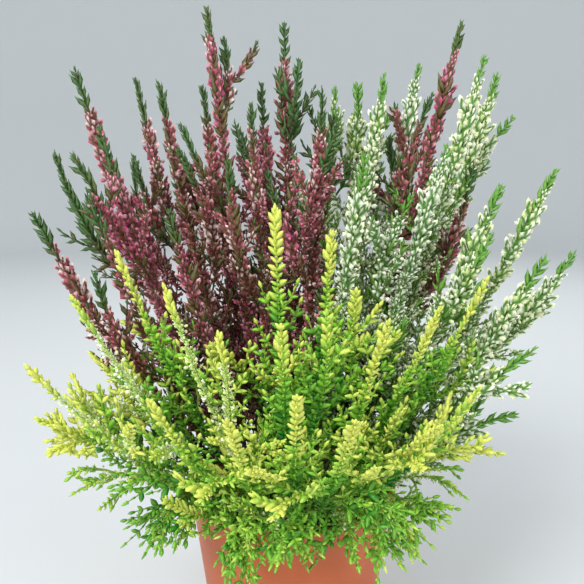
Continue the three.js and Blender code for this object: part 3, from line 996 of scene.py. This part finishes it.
amount = reckon(grow, "ROUND", reckon(grow, "MULTIPLY", read(grow, "bloom"), given["Flowers"]))
crowd = put(grow, "GeometryNodeDuplicateElements", {"Geometry": marked, "Amount": amount}, domain="POINT")
slide = {0: tangent, "Scale": between(grow, -FLOWER_SLIDE, FLOWER_SLIDE, seeded(4))}
offset = put(grow, "ShaderNodeVectorMath", slide, operation="SCALE").outputs[0]
spread = put(grow, "GeometryNodeSetPosition", {"Geometry": crowd.outputs["Geometry"], "Offset": offset})
flower_size = reckon(grow, "MULTIPLY", width, between(grow, *FLOWER_SIZES, seeded(7)))
flower_size = reckon(grow, "MAXIMUM", flower_size, LEAST_FLOWER)
facing = stand(between(grow, 0, 2 * math.pi, seeded(5)), between(grow, *FLOWER_TILTS, seeded(6)))
flowers = copies(spread.outputs["Geometry"], given["Flower"], facing, flower_size)
print("nodes with the flowers:", len(grow.nodes))

# %% [markdown]
# Every limb and twig ends in one more shoot that points straight on, as a growing tip does.

# %% The growing tree: tips
LEAST_TIP = 0.0028
TIP_SIZE = 1.4

last = put(grow, "GeometryNodeCurveEndpointSelection", {"Start Size": 0, "End Size": 1}).outputs["Selection"]
ends = store(grow, strings, "tip", last, "BOOLEAN")
end_dots = put(grow, "GeometryNodeCurveToPoints", {"Curve": ends}, mode="EVALUATED").outputs
end_up = put(grow, "FunctionNodeAlignRotationToVector", {"Vector": end_dots["Tangent"]}, axis="Z").outputs[0]
end_size = reckon(grow, "MULTIPLY", reckon(grow, "MAXIMUM", read(grow, "width"), LEAST_TIP), TIP_SIZE)
buds = copies(end_dots["Points"], given["Shoot"], end_up, end_size, read(grow, "tip", "BOOLEAN"))
print("nodes with the tips:", len(grow.nodes))

# %% [markdown]
# Realize Instances turns the copies into real faces, which the export needs, and Set Material then gives each
# face the finish of its part.

# %% The growing tree: one mesh with its finishes
together = put(grow, "GeometryNodeJoinGeometry")
for growth in (bark, shoots, clusters, flowers, buds):
    grow.links.new(growth, together.inputs[0])
whole = put(grow, "GeometryNodeRealizeInstances", {"Geometry": together.outputs[0]}).outputs[0]
part = read(grow, "part", "INT")
for number, label in ((BARK, "Bark finish"), (LEAF, "Leaf finish"), (PETAL, "Petal finish")):
    same = put(grow, "FunctionNodeCompare", data_type="INT", operation="EQUAL")
    ints = [socket for socket in same.inputs if socket.enabled]
    grow.links.new(part, ints[0])
    ints[1].default_value = number
    links = {"Geometry": whole, "Selection": same.outputs[0], "Material": given[label]}
    whole = put(grow, "GeometryNodeSetMaterial", links).outputs[0]
grow.links.new(whole, grown["Spray"])
print("the growing tree has", len(grow.nodes), "nodes")

# %% [markdown]
# ## Finishes
# Leaves, petals, bark, plastic and peat each need a colour that is never quite even. What they share is built
# once as a shader group with named inputs, and each material then fills in its own values. The groups read
# the attributes that the growing tree left on the mesh, and patterns lie on Object coordinates.

# %% Helpers for shader groups
COLOUR = "NodeSocketColor"
COLOUR_AND_ROUGHNESS = [("Color", COLOUR), ("Roughness", SIZE)]
PATCHES = (0.3, 0.7)  # the middle part of a noise, where nearly all of it lies


def attribute(tree, name):
    return put(tree, "ShaderNodeAttribute", attribute_name=name).outputs["Fac"]


def blend(tree, share, first, second):
    node = put(tree, "ShaderNodeMix", data_type="RGBA", clamp_factor=True)
    for name, value in (("Factor", share), ("A", first), ("B", second)):
        socket = next(s for s in node.inputs if s.name == name and s.enabled)
        if isinstance(value, bpy.types.NodeSocket):
            tree.links.new(value, socket)
        else:
            socket.default_value = value
    return next(s for s in node.outputs if s.enabled)


def remap(tree, value, low, high, to_low=0.0, to_high=1.0):
    links = {"Value": value, "From Min": low, "From Max": high, "To Min": to_low, "To Max": to_high}
    return put(tree, "ShaderNodeMapRange", links, clamp=True).outputs["Result"]


def hex_colour(text):
    """A colour as in a paint chart, in the linear numbers that Blender wants."""
    parts = [int(text[i : i + 2], 16) / 255 for i in (0, 2, 4)]
    return (*(part / 12.92 if part <= 0.04045 else ((part + 0.055) / 1.055) ** 2.4 for part in parts), 1.0)


def mottled(tree, shown, colour, scale, detail, light, rough):
    """Small patches vary how light and how rough a group's colour is, within two pairs of numbers."""
    where = put(tree, "ShaderNodeTexCoord").outputs["Object"]
    patchy = {"Vector": where, "Scale": scale, "Detail": detail}
    noise = put(tree, "ShaderNodeTexNoise", patchy).outputs["Fac"]
    lit = {"Color": colour, "Value": remap(tree, noise, *PATCHES, *light)}
    toned = put(tree, "ShaderNodeHueSaturation", lit)
    tree.links.new(toned.outputs["Color"], shown["Color"])
    tree.links.new(remap(tree, noise, *PATCHES, *rough), shown["Roughness"])


print("a middling orange in linear numbers:", [round(part, 3) for part in hex_colour("C86B44")])

# %% [markdown]
# Leaves of one plant share a colour but never match: each shoot has its own tint, old ones low down are
# deeper, and young tips are fresh. The deep green of old leaves also paints shade inside the clump and
# low down. So age and painted shade pick the green, and tint and hue shift it a little.

# %% The colour of foliage
LEAF_COLOURS = ("Young", "Grown", "Old", "In flower")
TIP_YOUTH = -0.2  # how much younger the tip of a shoot is than its foot
YOUNG_AGES, OLD_AND_SHADED_AGES = (0.0, 0.45), (0.45, 1.1)
BLOOM_SHARE = 0.8

greens = [(label, COLOUR, (0, 1, 0, 1)) for label in LEAF_COLOURS]
greens.append(("Variety", SIZE, 0.3))
foliage, given, shown = new_tree("foliage colour", "ShaderNodeTree", greens, COLOUR_AND_ROUGHNESS)
tipward = reckon(foliage, "MULTIPLY", attribute(foliage, "tipward"), TIP_YOUTH)
age = reckon(foliage, "ADD", attribute(foliage, "age"), tipward)
for name in ("tint", "hue"):
    off = reckon(foliage, "SUBTRACT", attribute(foliage, name), 0.5)
    age = reckon(foliage, "MULTIPLY_ADD", off, given["Variety"], age)
green = blend(foliage, remap(foliage, age, *YOUNG_AGES), given["Young"], given["Grown"])
# The old colour is also painted shade: it darkens the inside of the clump.
green = blend(foliage, remap(foliage, age, *OLD_AND_SHADED_AGES), green, given["Old"])
in_flower = reckon(foliage, "MULTIPLY", attribute(foliage, "bloom"), BLOOM_SHARE)
green = blend(foliage, in_flower, green, given["In flower"])
mottled(foliage, shown, green, 900.0, 2.0, (0.82, 1.18), (0.62, 0.42))
print("foliage colour:", len(foliage.nodes), "nodes")

# %% [markdown]
# Petals differ more than leaves: a spike carries wine-dark buds, magenta ones and a few near-white ones. On
# the magenta heather these near-white ones are painted glints, sparks of light; on the white and lime
# heathers the pale colour is the petals' own. The tint of each flower picks one of three colours, the hue of
# its limb brightens some, and its tip is a little paler, which on the magenta heather is a painted glint too.

# %% The colour of petals
PETAL_COLOURS = ("Deep", "Middle", "Pale", "Bright", "Heart")
DEEP_BLEND, PALE_BLEND = 0.12, 0.1
BRIGHT_HUES, BRIGHTEST = (0.45, 0.8), 0.65
PALE_TIP, PALEST = (0.7, 1.0), 0.35
HEART_EDGE = (0.15, 0.6)

tones = [(label, COLOUR, (1, 0, 0, 1)) for label in PETAL_COLOURS]
tones += [("Deep share", SIZE, 0.3), ("Glint and pale share", SIZE, 0.2)]
petal, given, shown = new_tree("petal colour", "ShaderNodeTree", tones, COLOUR_AND_ROUGHNESS)
tint, hue, tipward = (attribute(petal, name) for name in ("tint", "hue", "tipward"))
deep_end = reckon(petal, "ADD", given["Deep share"], DEEP_BLEND)
pale_start = reckon(petal, "SUBTRACT", 1.0, given["Glint and pale share"])
pale_end = reckon(petal, "ADD", pale_start, PALE_BLEND)
tone = blend(petal, remap(petal, tint, given["Deep share"], deep_end), given["Deep"], given["Middle"])
# The pale colour is the petals' own on the white and lime heathers, and a painted glint on the magenta one;
# the pale tips below take it too.
tone = blend(petal, remap(petal, tint, pale_start, pale_end), tone, given["Pale"])
tone = blend(petal, remap(petal, hue, *BRIGHT_HUES, 0.0, BRIGHTEST), tone, given["Bright"])
tone = blend(petal, remap(petal, tipward, *PALE_TIP, 0.0, PALEST), tone, given["Pale"])
tone = blend(petal, remap(petal, attribute(petal, "petal"), *HEART_EDGE), given["Heart"], tone)
mottled(petal, shown, tone, 1600.0, 1.0, (0.88, 1.12), (0.6, 0.45))
print("petal colour:", len(petal.nodes), "nodes")

# %% [markdown]
# Bark, soil and moulded plastic all have a fine grain that breaks up their colour and catches the light.
# One group gives a mask and a height for it at any scale.

# %% Grain
BROAD_PATCHES = (0.35, 0.65)
BROAD_HEIGHT = 0.4

grain, given, shown = new_tree(
    "grain",
    "ShaderNodeTree",
    [("Scale", SIZE, 500.0), ("Coarse", SIZE, 40.0), ("Stretch", SIZE, 1.0)],
    [("Fine", SIZE), ("Patches", SIZE), ("Height", SIZE)],
)
where = put(grain, "ShaderNodeTexCoord").outputs["Object"]
long = put(grain, "ShaderNodeCombineXYZ", {"X": 1.0, "Y": 1.0, "Z": given["Stretch"]}).outputs[0]
laid = put(grain, "ShaderNodeVectorMath", {0: where, 1: long}, operation="MULTIPLY").outputs[0]
fine, broad = (
    put(grain, "ShaderNodeTexNoise", {"Vector": laid, "Scale": given[scale], "Detail": detail}).outputs["Fac"]
    for scale, detail in (("Scale", 3.0), ("Coarse", 2.0))
)
grain.links.new(remap(grain, fine, *PATCHES), shown["Fine"])
grain.links.new(remap(grain, broad, *BROAD_PATCHES), shown["Patches"])
grain.links.new(reckon(grain, "MULTIPLY_ADD", broad, BROAD_HEIGHT, fine), shown["Height"])
print("grain:", len(grain.nodes), "nodes")

# %% [markdown]
# A finish is a material: the shader with its plain numbers, and a group that feeds what varies. Leaves and
# petals take colour and roughness from their group. Bark takes its grain, and mixes two browns with it.

# %% Making a finish from a group
VARIETY = 0.5


def finish(name, group, values, **uniform):
    """A material with a group in it, and with uniform numbers on the shader itself."""
    material = bpy.data.materials.new(name)
    material.use_nodes = True
    tree = material.node_tree
    shader = next(node for node in tree.nodes if node.type == "BSDF_PRINCIPLED")
    node = put(tree, "ShaderNodeGroup", dict(values), node_tree=group)
    for label, value in uniform.items():
        shader.inputs[label].default_value = value
    return material, tree, node, shader


def living(name, group, values):
    material, tree, node, shader = finish(name, group, values)
    tree.links.new(node.outputs["Color"], shader.inputs["Base Color"])
    tree.links.new(node.outputs["Roughness"], shader.inputs["Roughness"])
    return material


def leaf_finish(name, *greens):
    colours = zip(LEAF_COLOURS, map(hex_colour, greens))
    return living(name, foliage, [*colours, ("Variety", VARIETY)])


def petal_finish(name, deep_share, glint_and_pale_share, *tones):
    colours = zip(PETAL_COLOURS, map(hex_colour, tones))
    return living(name, petal, [*colours, ("Deep share", deep_share), ("Glint and pale share", glint_and_pale_share)])


def grained(name, scale, coarse, stretch, bump_depth, bump_strength, **uniform):
    """A finish with grain in its height, whose colour is still to be linked."""
    values = {"Scale": scale, "Coarse": coarse, "Stretch": stretch}
    material, tree, node, shader = finish(name, grain, values, **uniform)
    links = {"Height": node.outputs["Height"], "Distance": bump_depth, "Strength": bump_strength}
    tree.links.new(put(tree, "ShaderNodeBump", links).outputs["Normal"], shader.inputs["Normal"])
    return material, tree, node.outputs, shader.inputs


def bark_finish(name, dark, pale):
    material, tree, masks, taken = grained(name, 1400.0, 160.0, 0.25, 0.0002, 0.6, Roughness=0.75)
    tree.links.new(blend(tree, masks["Patches"], hex_colour(dark), hex_colour(pale)), taken["Base Color"])
    return material


print("groups to make finishes from:", ", ".join(group.name for group in (foliage, petal, grain)))

# %% [markdown]
# Each kind of heather then needs three finishes: bark, leaf and petal. The colours are those of the kinds in
# the picture: magenta and wine over bronze leaves, cream over mid green, and lime that fades to a deeper
# green inside, partly with age and partly as painted shade.

# %% The finishes of the four kinds
# Bark: dark and pale. Leaf: young, grown, old and shaded (the old colour also paints shade), and in flower.
# Petal: the share of deep ones and of pale ones, which on the magenta heather are painted glints, then deep,
# middle, pale, bright, and the heart.
FINISHES = {
    "purple": (
        bark_finish("red-brown bark", "3A2018", "7A4A38"),
        leaf_finish("bronze-green leaf", "456B34", "626A34", "3E4A24", "84583E"),
        # The magenta heather's pale petals, F8D8D6 with a share of 0.3, are painted glints.
        petal_finish("magenta petal", 0.24, 0.3, "8A4650", "CC647C", "F8D8D6", "D4508C", "6E4C34"),
    ),
    "white": (
        bark_finish("olive bark", "4A5228", "8A8C50"),
        leaf_finish("mid-green leaf", "6CA642", "64983A", "426E2C", "80A84C"),
        petal_finish("cream-white petal", 0.12, 0.35, "DCE69C", "F4F7CE", "FEFFE8", "FFFFF4", "588A36"),
    ),
    "lime": (
        bark_finish("yellow-green bark", "6F9430", "9CBC48"),
        leaf_finish("lime leaf", "DCE368", "8CCA3A", "2E8424", "B4D060"),
        petal_finish("cream petal", 0.25, 0.25, "E8F0A4", "F6F8CC", "FEFFE4", "FFFFEC", "BCD868"),
    ),
    "green": (
        bark_finish("dull green bark", "3C4A28", "66783C"),
        leaf_finish("blue-green leaf", "3F9150", "2F7A40", "1F5430", "2F7A40"),
        petal_finish("pale green bud", 0.3, 0.2, "6E9A4A", "8CB45C", "B4CC84", "B4CC84", "2F5A2C"),
    ),
}
print(sum(len(three) for three in FINISHES.values()), "living finishes")

# %% [markdown]
# ## The sprays
# Every spray gets its guide, the growing tree with the sizes of its kind, and a seed of its own. A modifier's
# inputs go by identifiers, which are looked up by name here. They are set before the object is evaluated, and
# the result is then copied out as a plain mesh.

# %% Running a tree on an object
def keep_shape(made, **options):
    """What the modifiers made becomes the object's own plain mesh."""
    graph = bpy.context.evaluated_depsgraph_get()
    mesh = bpy.data.meshes.new_from_object(made.evaluated_get(graph), depsgraph=graph, **options)
    made.modifiers.clear()
    made.data = mesh


def run_tree(made, tree, values, **options):
    modifier = made.modifiers.new(tree.name, "NODES")
    modifier.node_group = tree
    for item in tree.interface.items_tree:
        if item.item_type == "SOCKET" and item.in_out == "INPUT" and item.name in values:
            modifier[item.identifier] = values[item.name]
    keep_shape(made, **options)


def shade_by_part(mesh):
    """Petals stay faceted, and the rest is smooth. Returns how many triangles each part has."""
    part_of = np.zeros(len(mesh.polygons), np.int32)
    mesh.attributes["part"].data.foreach_get("value", part_of)
    mesh.polygons.foreach_set("use_smooth", part_of != PETAL)
    corners = np.zeros(len(mesh.polygons), np.int32)
    mesh.polygons.foreach_get("loop_total", corners)
    return [int((corners[part_of == number] - 2).sum()) for number in (BARK, LEAF, PETAL)]


inputs = [item.name for item in grow.interface.items_tree if item.in_out == "INPUT"]
print("inputs of the growing tree:", ", ".join(inputs))

# %% [markdown]
# The tall kinds carry slim shoots at a moderate slant. The lime one has plump shoots that stand well off and
# lie flat, and the plain green one never flowers. Each result rides on the plant's one body and stands for
# its CAD node. The small shapes have then done their work.

# %% Grow every spray
# Of each kind: slant, shoot shape, shoot size, flowers to a step, and how flat the spray is.
GROWTH = {
    "purple": (0.72, shoot, 0.95, 0.65, 0.0),
    "white": (0.72, shoot, 0.95, 1.2, 0.0),
    "lime": (0.86, lobe, 1.0, 1.0, 0.35),
    "green": (0.8, shoot, 1.0, 0.0, 0.2),
}
SEED_STEP = 10

triangles = {}
for i, spray in enumerate(sprays):
    kind = spray["kind"]
    values = dict(zip(("Slant", "Shoot", "Shoot size", "Flowers", "Flatness"), GROWTH[kind]))
    values |= dict(zip(("Bark finish", "Leaf finish", "Petal finish"), FINISHES[kind]))
    values |= {"Cluster": cluster, "Flower": flower, "Seed": SEED_STEP * i}
    made = guide_object(spray)
    run_tree(made, grow, values, preserve_all_data_layers=True)
    triangles[spray["node"]] = shade_by_part(made.data)
    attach(made, "root")
    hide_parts(spray["node"])
for kind in SPRAYS:
    counts = np.sum([count for node, count in triangles.items() if node.startswith(kind)], axis=0)
    print(kind, "has triangles of bark, leaf and petal:", counts)
totals = [sum(count) for count in triangles.values()]
print("all sprays:", sum(totals), "triangles, the largest", max(totals))
for template in (shoot, lobe, cluster, flower):
    bpy.data.objects.remove(template)

# %% [markdown]
# ## The pot
# A plain injection-moulded pot: a thin tapered wall, a turned-out rim and drainage holes. The CAD solid has
# forty flat sides, so a finer lathe of the same profile stands in for it. A lathe needs only a profile and
# the number of sides; the holes are cut afterwards.

# %% A lathe
def lathe(name, profile, sides):
    """A closed turned shape from a profile in millimetres that starts and ends on the axis."""
    work = bmesh.new()
    rings = []
    for radius, z in profile:
        turns = [2 * math.pi * i / sides for i in range(sides)] if radius else [0]
        rings.append([work.verts.new(on_circle(radius * MM, turn, z * MM)) for turn in turns])
    for low, high in zip(rings, rings[1:]):
        for i in range(sides):
            after = i + 1
            corners = [low[i % len(low)], low[after % len(low)], high[after % len(high)], high[i % len(high)]]
            work.faces.new(list(dict.fromkeys(corners)))
    bmesh.ops.recalc_face_normals(work, faces=work.faces)
    mesh = bpy.data.meshes.new(name)
    work.to_mesh(mesh)
    work.free()
    return add_object(name, mesh)


def rounded(corner, before, after, radius, steps=3):
    """The points of a small arc that softens a corner of a profile."""
    corner, before, after = (np.array(point, float) for point in (corner, before, after))
    start = corner + unit(before - corner) * radius
    end = corner + unit(after - corner) * radius
    shares = np.linspace(0, 1, steps + 1)
    return [tuple((1 - t) ** 2 * start + 2 * t * (1 - t) * corner + t * t * end) for t in shares]


print("a softened corner has", len(rounded((1, 0), (0, 0), (1, 1), 0.1)), "points")

# %% [markdown]
# The profile runs from the middle of the underside out and up the wall, over the rim, and down inside. Each
# corner is softened as a mould softens it, and most at the foot.

# %% Turn the pot
POT_SIDES = 160
POT_BASE_RADIUS = 50
WALL = 1.8
RIM_HEIGHT = 6


def wall_radius(z):
    return lerp(POT_BASE_RADIUS, POT_TOP_RADIUS, z / POT_HEIGHT)


rim_foot = POT_HEIGHT - RIM_HEIGHT
rim_out = POT_TOP_RADIUS - WALL + RIM_WIDTH
corners = [
    (0, 0),
    (POT_BASE_RADIUS, 0),
    (wall_radius(rim_foot), rim_foot),
    (rim_out, rim_foot),
    (rim_out, POT_HEIGHT),
    (POT_TOP_RADIUS - WALL, POT_HEIGHT),
    (wall_radius(WALL) - WALL, WALL),
    (0, WALL),
]
softened = (0, 1.5, 0.3, 0.8, 0.8, 0.4, 1.0, 0)
profile = [corners[0]]
for i in range(1, len(corners) - 1):
    profile += rounded(corners[i], corners[i - 1], corners[i + 1], softened[i])
profile.append(corners[-1])
pot = lathe("pot_moulded", profile, POT_SIDES)
print("pot:", len(pot.data.polygons), "faces before drilling")

# %% [markdown]
# Such a pot drains through round holes near the edge of its base. A Boolean modifier with a cylinder cuts
# each one cleanly, and an angle then tells the rounded surfaces from the sharp edges.

# %% Drill the drainage holes
DRAINS = 6
DRAIN_RADIUS = 4.5
DRAIN_CIRCLE = 32
SHARP_ANGLE = math.radians(35)

for i in range(DRAINS):
    middle = on_circle(DRAIN_CIRCLE * MM, (i + 0.5) * 2 * math.pi / DRAINS, 0)
    bpy.ops.mesh.primitive_cylinder_add(vertices=32, radius=DRAIN_RADIUS * MM, depth=8 * MM, location=middle)
    drill = bpy.context.object
    cut = pot.modifiers.new("drain", "BOOLEAN")
    cut.operation, cut.solver, cut.object = "DIFFERENCE", "EXACT", drill
    keep_shape(pot)
    bpy.data.objects.remove(drill)
pot.data.shade_smooth()
pot.data.set_sharp_from_angle(angle=SHARP_ANGLE)
print("pot:", len(pot.data.polygons), "faces with its drainage holes")

# %% [markdown]
# The plastic is terracotta-coloured all through, with a faint mottle, fine moulding grain and a soft gloss.

# %% The plastic
GLOSS = (0.42, 0.56)  # roughness, between the smooth and the grainy spots

plastic, tree, masks, taken = grained("terracotta plastic", 900.0, 25.0, 1.0, 0.0001, 0.35)
colour = blend(tree, masks["Patches"], hex_colour("C05A2B"), hex_colour("CA6634"))
tree.links.new(colour, taken["Base Color"])
tree.links.new(remap(tree, masks["Fine"], 0.0, 1.0, *GLOSS), taken["Roughness"])
pot.data.materials.clear()
pot.data.materials.append(plastic)
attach(pot, "root")
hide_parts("pot")
print("pot finish:", plastic.name)

# %% [markdown]
# ## The soil
# Peat is a dark crumbly mass. A plug with an uneven top gives its body. It is turned on the same lathe, flat
# in the middle and sloping down to the wall, and a few crossed waves roughen its top.

# %% The soil plug
SOIL_RINGS = 16
SOIL_SIDES = 96
GAP = 0.3
SOIL_SLOPE = 2.5
SOIL_FLAT_RADIUS = 48
SLOPE_WIDTH = 15.5
SOIL_DIPS = 0.9


def unevenness(x, y):
    return math.sin(0.9 * x + 1.3 * math.sin(0.7 * y)) * math.sin(0.8 * y + 1.1 * math.sin(0.6 * x))


bottom = WALL + GAP
edge = SOIL_LEVEL - SOIL_SLOPE
edge_radius = wall_radius(edge) - WALL - GAP
outline = [(0, bottom), (wall_radius(bottom) - WALL - GAP, bottom), (edge_radius, edge)]
for radius in np.linspace(edge_radius, 0, SOIL_RINGS + 1)[1:-1]:
    sloping = lerp(SOIL_LEVEL, edge, (radius - SOIL_FLAT_RADIUS) / SLOPE_WIDTH)
    outline.append((radius, min(SOIL_LEVEL, sloping)))
outline.append((0, SOIL_LEVEL))
soil = lathe("soil_peat", outline, SOIL_SIDES)
for vertex in soil.data.vertices:
    x, y, z = (value / MM for value in vertex.co)
    if z > edge + 0.01:
        vertex.co.z -= 0.5 * (1 + unevenness(x, y)) * SOIL_DIPS * MM
soil.data.shade_smooth()
print("soil plug:", len(soil.data.polygons), "faces")

# %% [markdown]
# A second small tree scatters crumbs over the plug. Scattering on faces is the natural job for Geometry
# Nodes. A modelled crumb is a ball of twenty faces, a little squashed.

# %% The tree that strews crumbs
CRUMB_SIZES = (1.0, 2.6)  # shares of the smallest crumb
CRUMB_FLATNESS = 0.6

strew, given, shown = new_tree(
    "strew crumbs",
    "GeometryNodeTree",
    [
        ("Ground", "NodeSocketGeometry", None),
        ("Finish", FINISH, None),
        ("Least height", SIZE, 0.1),
        ("Crumbs to a square metre", SIZE, 30000.0),
        ("Smallest", SIZE, 0.0006),
        ("Seed", WHOLE, 3),
    ],
    [("Soil", "NodeSocketGeometry")],
)
position = put(strew, "GeometryNodeInputPosition").outputs[0]
height = put(strew, "ShaderNodeSeparateXYZ", {0: position}).outputs["Z"]
high = {0: height, 1: given["Least height"]}
on_top = put(strew, "FunctionNodeCompare", high, data_type="FLOAT", operation="GREATER_THAN").outputs[0]
spots = {"Mesh": given["Ground"], "Selection": on_top, "Seed": given["Seed"]}
spots |= {"Density": given["Crumbs to a square metre"]}
scattered = put(strew, "GeometryNodeDistributePointsOnFaces", spots, distribute_method="RANDOM").outputs[0]
ball = put(strew, "GeometryNodeMeshIcoSphere", {"Radius": 1.0, "Subdivisions": 1}).outputs["Mesh"]
wide = reckon(strew, "MULTIPLY", given["Smallest"], between(strew, *CRUMB_SIZES, given["Seed"]))
low = reckon(strew, "MULTIPLY", wide, CRUMB_FLATNESS)
squashed = put(strew, "ShaderNodeCombineXYZ", {"X": wide, "Y": wide, "Z": low}).outputs[0]
spin = {"Axis": (0, 0, 1), "Angle": between(strew, 0, 6.28, given["Seed"])}
spun = put(strew, "FunctionNodeAxisAngleToRotation", spin).outputs[0]
placing = {"Points": scattered, "Instance": ball, "Rotation": spun, "Scale": squashed}
crumbs = put(strew, "GeometryNodeInstanceOnPoints", placing).outputs["Instances"]
both = put(strew, "GeometryNodeJoinGeometry")
strew.links.new(given["Ground"], both.inputs[0])
strew.links.new(crumbs, both.inputs[0])
real = put(strew, "GeometryNodeRealizeInstances", {"Geometry": both.outputs[0]}).outputs[0]
done = put(strew, "GeometryNodeSetMaterial", {"Geometry": real, "Material": given["Finish"]}).outputs[0]
strew.links.new(done, shown["Soil"])
print("the strewing tree has", len(strew.nodes), "nodes")

# %% [markdown]
# Damp peat is nearly black, with brown fibres and no shine. The grain group again gives both, and crumbs and
# plug become one mesh.

# %% Crumbs on the soil
peat, tree, masks, taken = grained("peat", 700.0, 90.0, 1.0, 0.0008, 0.9, Roughness=0.92)
colour = blend(tree, masks["Fine"], hex_colour("1C120B"), hex_colour("4A3222"))
tree.links.new(blend(tree, masks["Patches"], colour, hex_colour("2C1D13")), taken["Base Color"])
run_tree(soil, strew, {"Finish": peat, "Least height": (edge - 0.5) * MM})
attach(soil, "root")
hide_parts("soil")
print("soil:", len(soil.data.polygons), "faces with its crumbs")

# %% [markdown]
# ## The picture
# The pot stands on a plain pale floor. Far out the floor turns up, as paper does in a studio, so that no line
# shows where it ends. It is turned on the lathe too, and shows its upper side.

# %% Floor
FLOOR_RADIUS = 2400
FLOOR_BEND = 600
FLOOR_EDGE = (3000, 1500)
FLOOR_COLOUR = (0.68, 0.71, 0.715, 1)

sweep = [(0, 0), (FLOOR_RADIUS, 0)]
for turn in np.linspace(0, QUARTER_TURN, 13)[1:]:
    sweep.append((FLOOR_RADIUS + FLOOR_BEND * math.sin(turn), FLOOR_BEND * (1 - math.cos(turn))))
sweep.append(FLOOR_EDGE)
floor = lathe("floor", sweep, 96)
floor.data.flip_normals()
floor.data.shade_smooth()
pale = bpy.data.materials.new("pale floor")
pale.use_nodes = True
shader = next(node for node in pale.node_tree.nodes if node.type == "BSDF_PRINCIPLED")
shader.inputs["Base Color"].default_value = FLOOR_COLOUR
shader.inputs["Roughness"].default_value = 0.9
floor.data.materials.append(pale)
print("floor:", len(floor.data.polygons), "faces")

# %% [markdown]
# Soft studio light: one large lamp high at the front left, weaker ones at the right and behind, and a pale
# surround that fills the shadows.

# %% Light
# Of each lamp: where it stands and the point that it lights, in metres, its size, and its power.
LAMPS = {
    "key light": ((-0.9, -1.3, 1.5), (0, 0, 0.2), 0.9, 36),
    "fill light": ((1.3, -1.0, 0.9), (0, 0, 0.2), 1.2, 9),
    "back light": ((0.4, 1.5, 1.4), (0, 0, 0.25), 1.0, 9),
}

for name, (place, aim, size, power) in LAMPS.items():
    data = bpy.data.lights.new(name, "AREA")
    data.size, data.energy = size, power
    lamp = add_object(name, data)
    lamp.location = place
    lamp.rotation_euler = (Vector(aim) - Vector(place)).to_track_quat("-Z", "Y").to_euler()
world = bpy.data.worlds.new("surround")
world.use_nodes = True
sky = world.node_tree.nodes["Background"].inputs
sky["Color"].default_value = (0.93, 0.96, 1.0, 1)
sky["Strength"].default_value = 0.62
bpy.context.scene.world = world
print(len(LAMPS), "lamps and a pale surround")

# %% [markdown]
# The camera looks slightly down from just under the tallest tips, close enough that the nearest sprays look
# large. The picture is square, so one field of view serves both ways.

# %% Camera
CAMERA_PLACE = (0, -0.417, 0.312)
CAMERA_PITCH = 10  # degrees below level
SENSOR = 36
FOCUS = 688 / 584  # the focal length, as a share of the picture's width

camera_data = bpy.data.cameras.new("camera")
camera_data.sensor_width = SENSOR
camera_data.sensor_fit = "HORIZONTAL"
camera_data.lens = SENSOR * FOCUS
camera_data.clip_start = 0.01
camera = add_object("camera", camera_data)
camera.location = CAMERA_PLACE
camera.rotation_euler = (math.radians(90 - CAMERA_PITCH), 0, 0)
bpy.context.scene.camera = camera
bpy.context.scene.view_settings.view_transform = "Standard"
print("lens", round(camera_data.lens, 1), "mm")

# %% [markdown]
# Last, the view layer is brought up to date. The dressed plant has to stay as large as
# the CAD model says.

# %% Up to date, and done
bpy.context.view_layer.update()
